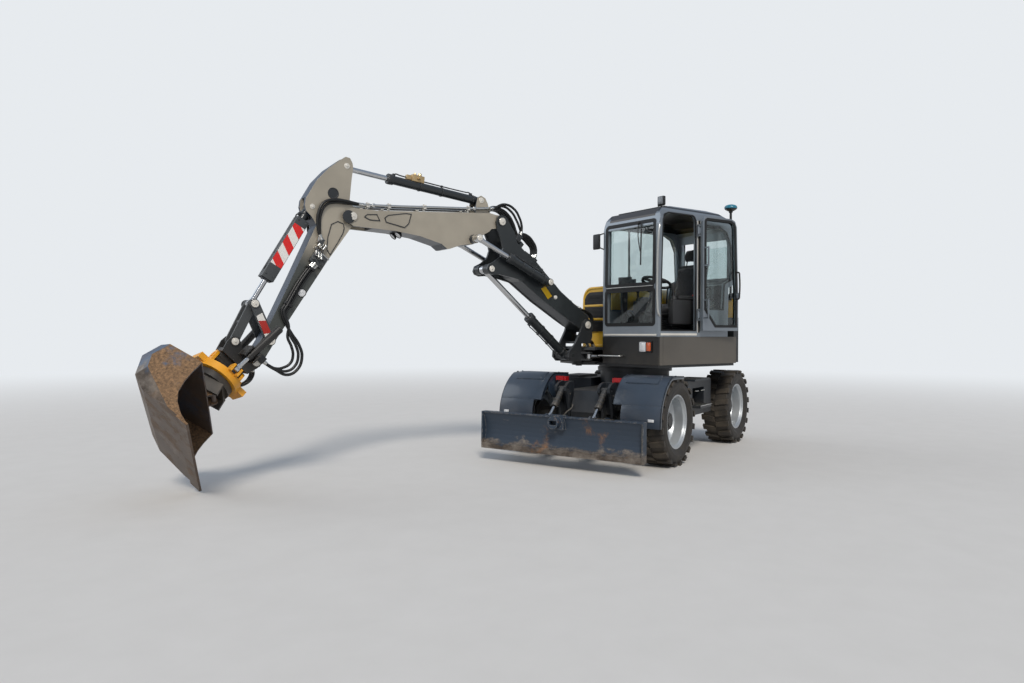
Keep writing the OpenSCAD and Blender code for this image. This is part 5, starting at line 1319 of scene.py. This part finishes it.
class EXCAVATOR_OT_hoses(Fitting, bpy.types.Operator):
    """Hydraulic hoses over the joints, each with crimped ends, and the blocks that they screw into."""
    bl_idname = "excavator.hoses"
    bl_label = "Hoses"

    def hose(self, name, place, points, r, body, other=None, start=None, end=None):
        route = tube_of(points, r, resolution=7, sides=3)
        made = fitted(route, name, place, "hose rubber", body=None if other else body, smooth=60)
        if other:
            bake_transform(made)
        a = ferrule(points[0], along_of(points[1], points[0]), r)
        b = ferrule(points[-1], along_of(points[-2], points[-1]), r)
        fitted(a, name + "_end_a", place, "zinc", body=body)
        fitted(b, name + "_end_b", place, "zinc", body=other or body)

    def make(self, finish, sizes):
        r, thin = sizes.hose_d / MM / 2, sizes.thin_hose_d / MM / 2
        on_upper = carried("boom_upper", "boom_lower")
        n = 0
        for y, lift in ((104, 0), (-104, 0), (84, 14), (-84, 14)):
            n += 1
            points = [on_upper(118, y, 152 - lift), on_upper(70, y, 160 - lift), (1850, y, 205 - lift * 2),
                      (1718, y, 268 - lift * 3), (1603, y, 250 - lift * 3), (1518, y, 206 - lift * 2),
                      (1470, y, 150), (1452, y, 108)]
            self.hose(f"knee_hose_{n}", "boom_lower", points[::-1], r, "boom_lower", "boom_upper", (1560, y, 240),
                      (1860, y, 170))
        for y in (62, 22, -22, -62):
            n += 1
            points = [on_upper(118, 70 if y > 0 else -70, 150), on_upper(76, y, 150), (1832, y, 150),
                      (1709, y, 180), (1603, y, 160), (1511, y, 118), (1420, y, 84), (1384, y, 66)]
            self.hose(f"knee_hose_{n}", "boom_lower", points[::-1], r, "boom_lower", "boom_upper", (1560, y, 150),
                      (1860, y, 120))
        blocks = [block((64, 250, 92), (1448, 0, 60)), block((56, 190, 56), (1364, 0, 44)),
                  block((56, 180, 60), (1092, 0, 50))]
        for x, y0 in ((1448, 96), (1092, 60)):
            for y in (-y0, -y0 / 3, y0 / 3, y0):
                blocks.append(drum(9, 12, (x, y, 110 if x > 1400 else 84), 6, "Z"))
        fitted(round_edges(joined(blocks), 4, 2), "boom_blocks", "boom_lower", "frame dark")
        for i, y in enumerate((52, 18, -18, -52)):
            points = [(1440, y, 118), (1424, y, 165), (1346, y, 214 - 6 * i), (1259, y, 220 - 6 * i),
                      (1170, y, 196), (1112, y, 130), (1100, y, 92)]
            self.hose(f"boom_hose_{i + 1}", "boom_lower", points, r, "boom_lower")
        lines = []
        for y in (78, 46, 14, -14, -46, -78):
            lines.append(tube_of([(1066, y, 50), (1000, y, 46), (620, y, 46), (540, y, 50), (340, y, 78),
                                  (214, y, 108)], 9, resolution=4, sides=3))
        for x, z in ((940, 44), (660, 44), (352, 76)):
            lines.append(eased((30, 190, 26), 4, (x, 0, z)))
        fitted(joined(lines), "boom_lines", "boom_lower", "zinc")
        on_lower = carried("boom_lower", "post")
        for i, y in enumerate((78, 46, -46, -78)):
            points = [on_lower(200, y, 110), on_lower(150, y, 128), (-60, y, 1742), (-140, y, 1690),
                      (-170, y, 1590), (-150, y, 1500), (-104, y, 1450), (-74, y, 1432)]
            self.hose(f"foot_hose_{i + 1}", "post", points[::-1], r, "swing_bracket", "boom_lower", (-165, y, 1560),
                      (-20, y, 1740))
            points = [(-74, y, 1392), (-120, y, 1372), (-168, y * 0.9, 1352), (-196, y * 0.8, 1318),
                      (-204, y * 0.8, 1300)]
            self.hose(f"deck_hose_{i + 1}", "post", points, r, "swing_bracket", "upper", (-110, y, 1380),
                      (-190, y, 1330))
        fitted(eased((52, 220, 84), 5, (-44, 0, 1404)), "foot_block", "post", "frame dark")
        on_upper = carried("boom_upper", "stick")
        for i, (y, side, top, end) in enumerate(((104, 132, 0, 398), (70, 112, -34, 424), (-104, -132, 0, 398),
                                                 (-70, -112, -34, 424))):
            points = [on_upper(1696, y, 121), on_upper(1740, y, 128), (-62, side, 168 + top), (-6, side, 250 + top),
                      (85, side, 314 + top), (203, side, 302 + top), (290, side, 255 + top),
                      (362, side, 190 + top / 2), (end, side, 138)]
            self.hose(f"stick_hose_{i + 1}", "stick", points, r, "boom_upper", "stick", (-110, side, 90),
                      (40, side, 300))
        parts = [eased((120, 44, 150), 6, (585, 112, 46)), eased((60, 30, 60), 5, (690, 106, 60))]
        for s in (1, -1):
            parts.append(eased((54, 56, 50), 5, (416, s * 118, 124)))
        for x, z in ((560, 96), (608, 90), (560, 10), (612, 2), (586, 50)):
            parts.append(aimed(lathe([(0, 34), (8, 34), (13, 28), (14, 12), (17, 10), (17, 0), (0, 0)], 6),
                               (x, 130, z), (0, 1, 0)))
        fitted(joined(parts), "stick_valves", "stick", "lever grey")
        bar = tube_of([(496, 112, 142), (512, 124, 60), (518, 112, -42)], 8, sides=3)
        fitted(bar, "hose_bar", "stick", "zinc")
        for i, (y, z) in enumerate(((132, 122), (116, 92), (132, 62))):
            points = [(436, y - 4, z), (470, y, z + 4), (500, y + 8, z - 2), (536, 142, z - 10), (560, 146, z - 24)]
            self.hose(f"side_hose_{i + 1}", "stick", points, thin + 2, "stick")
        on_hitch = carried("hitch", "stick")
        for i, (y, z) in enumerate(((114, 74), (134, 58), (114, 30))):
            points = [(650, y, z), (720, y, z + 10), (860, y, z + 16), (1000, y + 3, z + 10), (1120, y + 6, z),
                      (1205, y + 8, z - 8)]
            spots = ((61 - 20 * i, y + 10, 450), (-44, y + 12, 421 - 26 * i), (-180 + 24 * i, y + 14, 391 - 30 * i),
                     (-275 + 36 * i, y + 14, 334 - 26 * i), (-330 + 46 * i, y + 14, 210),
                     (-293 + 36 * i, y + 10, 110 + 14 * i), (-183, y + 8, 71 + 8 * i), (-90, y + 6, 50),
                     (-34, y + 4, 46))
            points += [on_hitch(*spot) for spot in spots]
            self.hose(f"tool_hose_{i + 1}", "stick", points, r - 1 * (i > 0), "stick", "hitch",
                      on_hitch(-180, 140, 391), on_hitch(-200, 140, 80))
        clamps = [eased((26, 60, 86), 4, (x, 118, z)) for x, z in ((700, 62), (1120, 50))]
        fitted(joined(clamps), "hose_clamps", "stick", "black plastic")
        fitted(eased((60, 60, 70), 6, (-14, 138, 46)), "hitch_block", "hitch", "frame dark")
        for i, y in enumerate((-60, -20, 20, 60)):
            points = [(-22, y, -60), (-60, y, -70), (-96, y, -130), (-92, y, -200), (-60, y, -262), (-44, y, -290)]
            self.hose(f"tilt_hose_{i + 1}", "hitch", points, thin + 3, "hitch", "tilt_body", (-80, y, -100),
                      (-80, y, -240))


class EXCAVATOR_OT_cylinders(Fitting, bpy.types.Operator):
    """Glands, ports and steel lines of the cylinders, the striped guard and the holding valve."""
    bl_idname = "excavator.cylinders"
    bl_label = "Cylinders"
    # name, section, body, base pin, the eye's section and pin, the barrel's radius and length, the places
    # across that it stands at, and the side of its line
    BARRELS = (
        ("lift", "post", "lift_tube", LIFT_BASE, "boom_lower", LIFT_EYE, 60, 745, (0,), -1),
        ("adjust", "boom_lower", "adjust_tubes", ADJUST_BASE, "boom_upper", ADJUST_EYE, 50, 640, (232, -232), 1),
        ("stick", "boom_upper", "stick_tube", STICK_BASE, "stick", STICK_EYE, 50, 1150, (0,), 1),
        ("bucket", "stick", "bucket_tube", BUCKET_BASE, "stick", BUCKET_EYE, 46, 850, (0,), 1),
        ("blade", "row", "blade_tubes", BLADE_BASE, "row", BLADE_EYE, 32, 270, (BLADE_ARM_Y, -BLADE_ARM_Y), -1))

    def dress(self, base, eye, r, length, sides, up):
        """Rings and a line along a barrel from base to eye; ends on the side given by up."""
        a, b = pin(base), pin(eye)
        way = along_of(a, b)
        out = Vector((-way.z, 0, way.x)) * up
        parts = []
        for y in sides:
            shift = Vector((0, y, 0))
            spot = lambda t, h=0.0, w=0.0: tuple(a + shift + way * t + out * h + Vector((0, w, 0)))
            parts.append(aimed(lathe([(r + 0.4, 0), (r + 5, 3), (r + 6, 12), (r + 6, 40), (r + 3, 46), (r - 8, 47),
                                      (r - 8, 0)], 32), spot(length - 44), way))
            parts.append(aimed(lathe([(r + 0.4, 0), (r + 3, 4), (r + 3, 16), (r + 0.4, 20)], 32), spot(76), way))
            for t in (110, length - 70):
                parts.append(aimed(eased((34, 30, 26), 4), spot(t, r + 6), out))
            parts.append(tube_of([spot(110, r + 10), spot(134, r + 22), spot(170, r + 17),
                                  spot(length - 140, r + 17), spot(length - 96, r + 22), spot(length - 70, r + 12)],
                                 7, resolution=4, sides=3))
            for t in (length * 0.42, length * 0.66):
                parts.append(aimed(lathe([(r + 0.4, 0), (r + 2.4, 1), (r + 2.4, 15), (r + 0.4, 16)], 32), spot(t),
                                   way))
                parts.append(aimed(eased((24, 26, 18), 3), spot(t + 8, r + 14), out))
        return joined(parts)

    def make(self, finish, sizes):
        for name, place, body, base, other, eye, r, length, sides, up in self.BARRELS:
            parts = self.dress(base, local(other, place, pin(eye)).xz, r, length, sides, up)
            fitted(parts, name + "_cylinder_fittings", place, "frame dark", body=body)
        way = along_of(pin(STICK_BASE), pin(local("stick", "boom_upper", pin(STICK_EYE)).xz))
        out = Vector((-way.z, 0, way.x))
        spot = lambda t, h, w=0.0: tuple(pin(STICK_BASE) + way * t + out * h + Vector((0, w, 0)))
        valve = [aimed(eased((70, 74, 150), 6), spot(800, 74), way),
                 aimed(eased((44, 50, 60), 5), spot(905, 70), way),
                 aimed(lathe([(0, 36), (15, 36), (20, 28), (20, 0), (0, 0)], 6), spot(770, 106), out),
                 aimed(lathe([(0, 28), (12, 28), (16, 20), (16, 0), (0, 0)], 6), spot(830, 106), out),
                 aimed(lathe([(0, 40), (14, 40), (18, 30), (18, 0), (0, 0)], 6), spot(800, 74, 36), (0, 1, 0))]
        fitted(joined(valve), "holding_valve", "boom_upper", "brass", body="stick_tube")
        barrel = along_of(pin(BUCKET_BASE), pin(BUCKET_EYE))
        turn = lambda x, z: (BUCKET_BASE[0] + x * barrel.x - z * barrel.z,
                             BUCKET_BASE[1] + x * barrel.z + z * barrel.x)
        shape = lambda x0, x1, z0, z1: [turn(x, z) for x, z in ((x0, z0), (x1, z0), (x1, z1), (x0, z1))]
        guard = [plate(shape(150, 842, -62, 62), 8, "XZ", (0, 62, 0)),
                 plate(shape(150, 842, 54, 62), 118, "XZ", (0, 3, 0)),
                 plate(shape(150, 842, -62, -54), 118, "XZ", (0, 3, 0)),
                 plate(shape(150, 842, -62, 62), 8, "XZ", (0, -60, 0))]
        for x in (180, 800):
            for z in (-40, 40):
                spot_at = turn(x, z)
                guard.append(aimed(lathe([(0, 7), (7, 7), (10, 5), (10, 0), (0, 0)], 6),
                                   (spot_at[0], 66, spot_at[1]), (0, 1, 0)))
        fitted(round_edges(joined(guard), 2, 2), "cylinder_guard", "stick", "lever grey", body="bucket_tube")
        tape = plate(shape(232, 690, -58, 58), 2.4, "XZ", (0, 67, 0))
        fitted(round_edges(tape, 0.8, 1), "guard_tape", "stick", "boom stripes", body="bucket_tube")
        pale = plate([(1388, 240), (1330, 214), (1440, 40), (1502, 64)], 2.4, "XZ", (0, 149.5, 0))
        fitted(round_edges(pale, 0.8, 1), "lever_plate", "stick", "white plate", body="levers")
        red = plate([(1412, 200), (1372, 148), (1440, 42), (1486, 92)], 1.6, "XZ", (0, 151.2, 0))
        fitted(red, "lever_tape", "stick", "red pad", body="levers")


class EXCAVATOR_OT_panels(Fitting, bpy.types.Operator):
    """Raised panel edges and plates on the booms, the tilt frame's cheeks, the blade's strips and the step grips."""
    bl_idname = "excavator.panels"
    bl_label = "Panels"

    def make(self, finish, sizes):
        tri = [(1700, -4), (1664, 26), (1552, 30), (1520, -42), (1636, -36)]
        run = [(1470, -4), (1430, 26), (1222, 54), (1150, 48), (1190, -60), (1244, -104), (1459, -52)]
        sides = [plate(tri, 3, "XZ", (0, 125, 0)), plate(run, 3, "XZ", (0, 125, 0))]
        # the dark paint on the raised panel edges is painted shade, standing for the dark outlines of recessed panels
        edges = [ring(tri, 9, 9, "XZ", (0, 127, 0)), ring(run, 9, 9, "XZ", (0, 127, 0))]
        fitted(both(joined(edges)), "boom_panel_shade_edges", "boom_upper", "frame dark")
        fitted(both(round_edges(joined(sides), 1, 1)), "boom_panels", "boom_upper", "boom pale")
        fitted(both(aimed(lathe([(0, 6), (34, 6), (62, 4), (66, 0), (0, 0)], 40), (1865, 134, -8), (0, 1, 0))),
               "boom_tip_discs", "boom_upper", "frame dark")
        # the dark rings round the stick's panel and hole are painted shade of recess outlines
        leaf = ring([(200, 130), (132, 92), (116, 30), (150, -6), (200, -22), (290, -28), (470, -34), (440, 30),
                     (330, 90)], 8, 8, "XZ", (0, 94, 0))
        hole = aimed(lathe([(0, 1), (46, 1), (48, 5), (56, 5), (58, 0), (0, 0)], 36), (-69, 92, 280), (0, 1, 0))
        fitted(both(joined([leaf, hole])), "stick_panel_shade_edges", "stick", "frame dark")
        sign = round_edges(plate([(823, -160), (790, -92), (640, -110), (660, -182)], 4, "XZ", (0, 132, 0)), 1)
        fitted(sign, "boom_plate", "boom_lower", "yellow plate")
        lamp = aimed(lathe([(0, 20), (18, 18), (24, 10), (26, 0), (0, 0)], 24), (590, 130, -84), (0, 1, 0))
        fitted(lamp, "boom_button", "boom_lower", "white plate")
        # raised strips along the lower boom's top and bottom edges, in lighter paint as a painted edge highlight
        edges = [strip_of([(1205, 30), (902, 26), (576, 30), (353, 60), (110, 100)], 5, 20, 122),
                 strip_of([(110, -112), (300, -156), (702, -242), (1081, -296), (1180, -334)], -5, 20, 122)]
        fitted(both(joined(edges)), "boom_edge_highlight_strips", "boom_lower", "lever grey")
        cheek = plate([(-150, -60), (-84, -40), (-30, -52), (26, -100), (150, -96), (196, -84), (196, -128),
                       (150, -150), (-60, -168), (-120, -168)], 24, "XZ", (0, 82, 0))
        hook = plate([(-186, -40), (-120, -52), (-120, -150), (-168, -150), (-196, -100)], 150, "XZ", (0, 0, 0))
        left = round_edges(cheek, 5, 2)
        fitted(joined([round_edges(hook, 8, 2), left, mirrored(left)]), "tilt_cheeks", "tilt", "tilter paint")
        blank = plate([(90, -112), (10, -108), (0, -146), (84, -140)], 3, "XZ", (0, 95.5, 0))
        fitted(round_edges(blank, 1, 1), "tilt_plate", "tilt", "white plate")
        bolts = []
        for i in range(12):
            bolt = lathe([(0, 12), (9, 12), (11, 9), (11, 0), (0, 0)], 6)
            bolts.append(settled(bolt, moved(*swing(158, 30 * i + 15), -100)))
        fitted(joined(bolts), "ring_bolts", "tilt", "zinc")
        strip = eased((8, 10, 380), 3, (1997, 990, 365), 1)
        fitted(strip, "blade_end_strip", "row", "lever grey", body="blade")
        rows = [block((60, 8, 6), (1958, 420 + 22 * i, 572)) for i in range(12)]
        fitted(round_edges(joined(rows), 2, 1), "blade_grip", "row", "black plastic", body="blade")
        steps = []
        for s in (1, -1):
            for i in range(9):
                steps.append(block((12, 200, 5), (-150 + 45 * i, s * 830, 593)))
            for x in (-80, 130):
                steps.append(tube_of([(x - 40, s * 862, 760), (x - 36, s * 884, 764), (x + 36, s * 884, 764),
                                      (x + 40, s * 862, 760)], 6, sides=3))
            steps.append(eased((400, 6, 10), 2, (25, s * 962, 592)))
        fitted(joined(steps), "step_grip", "row", "zinc")
        tower = []
        for s in (1, -1):
            for y in (196, 356):
                for x, z in ((1290, 520), (1300, 640), (1345, 760)):
                    tower.append(aimed(lathe([(0, 9), (9, 9), (12, 6), (12, 0), (0, 0)], 6),
                                       (x, s * (y - 1 if y > 300 else y + 3), z), (0, s if y > 300 else -s, 0)))
        for y in (-150, 150):
            tower.append(tube_of([(1368, y, 640), (1400, y, 600), (1460, y * 1.2, 560), (1600, y * 1.2, 470)], 9,
                                 sides=3))
        fitted(joined(tower), "tower_bolts", "row", "frame dark")


OPERATORS = [EXCAVATOR_OT_stage, EXCAVATOR_OT_finishes, EXCAVATOR_OT_mudguards, EXCAVATOR_OT_wheels,
             EXCAVATOR_OT_hood, EXCAVATOR_OT_masts, EXCAVATOR_OT_pipes, EXCAVATOR_OT_pin_caps,
             EXCAVATOR_OT_cab_trim, EXCAVATOR_OT_door_trim, EXCAVATOR_OT_lamps, EXCAVATOR_OT_inside,
             EXCAVATOR_OT_hoses, EXCAVATOR_OT_cylinders, EXCAVATOR_OT_panels]
CLASSES = [ExcavatorFinish, ExcavatorSizes] + OPERATORS


class EXCAVATOR_PT_panel(bpy.types.Panel):
    """Lists the dressing's steps and its settings."""
    bl_label = "Excavator"
    bl_idname = "EXCAVATOR_PT_panel"
    bl_space_type = "VIEW_3D"
    bl_region_type = "UI"
    bl_category = "Excavator"

    def draw(self, context):
        column = self.layout.column(align=True)
        for step in OPERATORS:
            column.operator(step.bl_idname)
        for group in (context.scene.excavator_finish, context.scene.excavator_sizes):
            box = self.layout.box()
            for key in group.__annotations__:
                box.prop(group, key)


def register():
    for c in CLASSES + [EXCAVATOR_PT_panel]:
        bpy.utils.register_class(c)
    bpy.types.Scene.excavator_finish = bpy.props.PointerProperty(type=ExcavatorFinish)
    bpy.types.Scene.excavator_sizes = bpy.props.PointerProperty(type=ExcavatorSizes)


def unregister():
    del bpy.types.Scene.excavator_finish
    del bpy.types.Scene.excavator_sizes
    for c in reversed(CLASSES + [EXCAVATOR_PT_panel]):
        bpy.utils.unregister_class(c)


def main():
    """Dresses the machine step by step."""
    register()
    for step in OPERATORS:
        group, name = step.bl_idname.split(".")
        getattr(getattr(bpy.ops, group), name)()


if __name__ == "__main__":
    main()
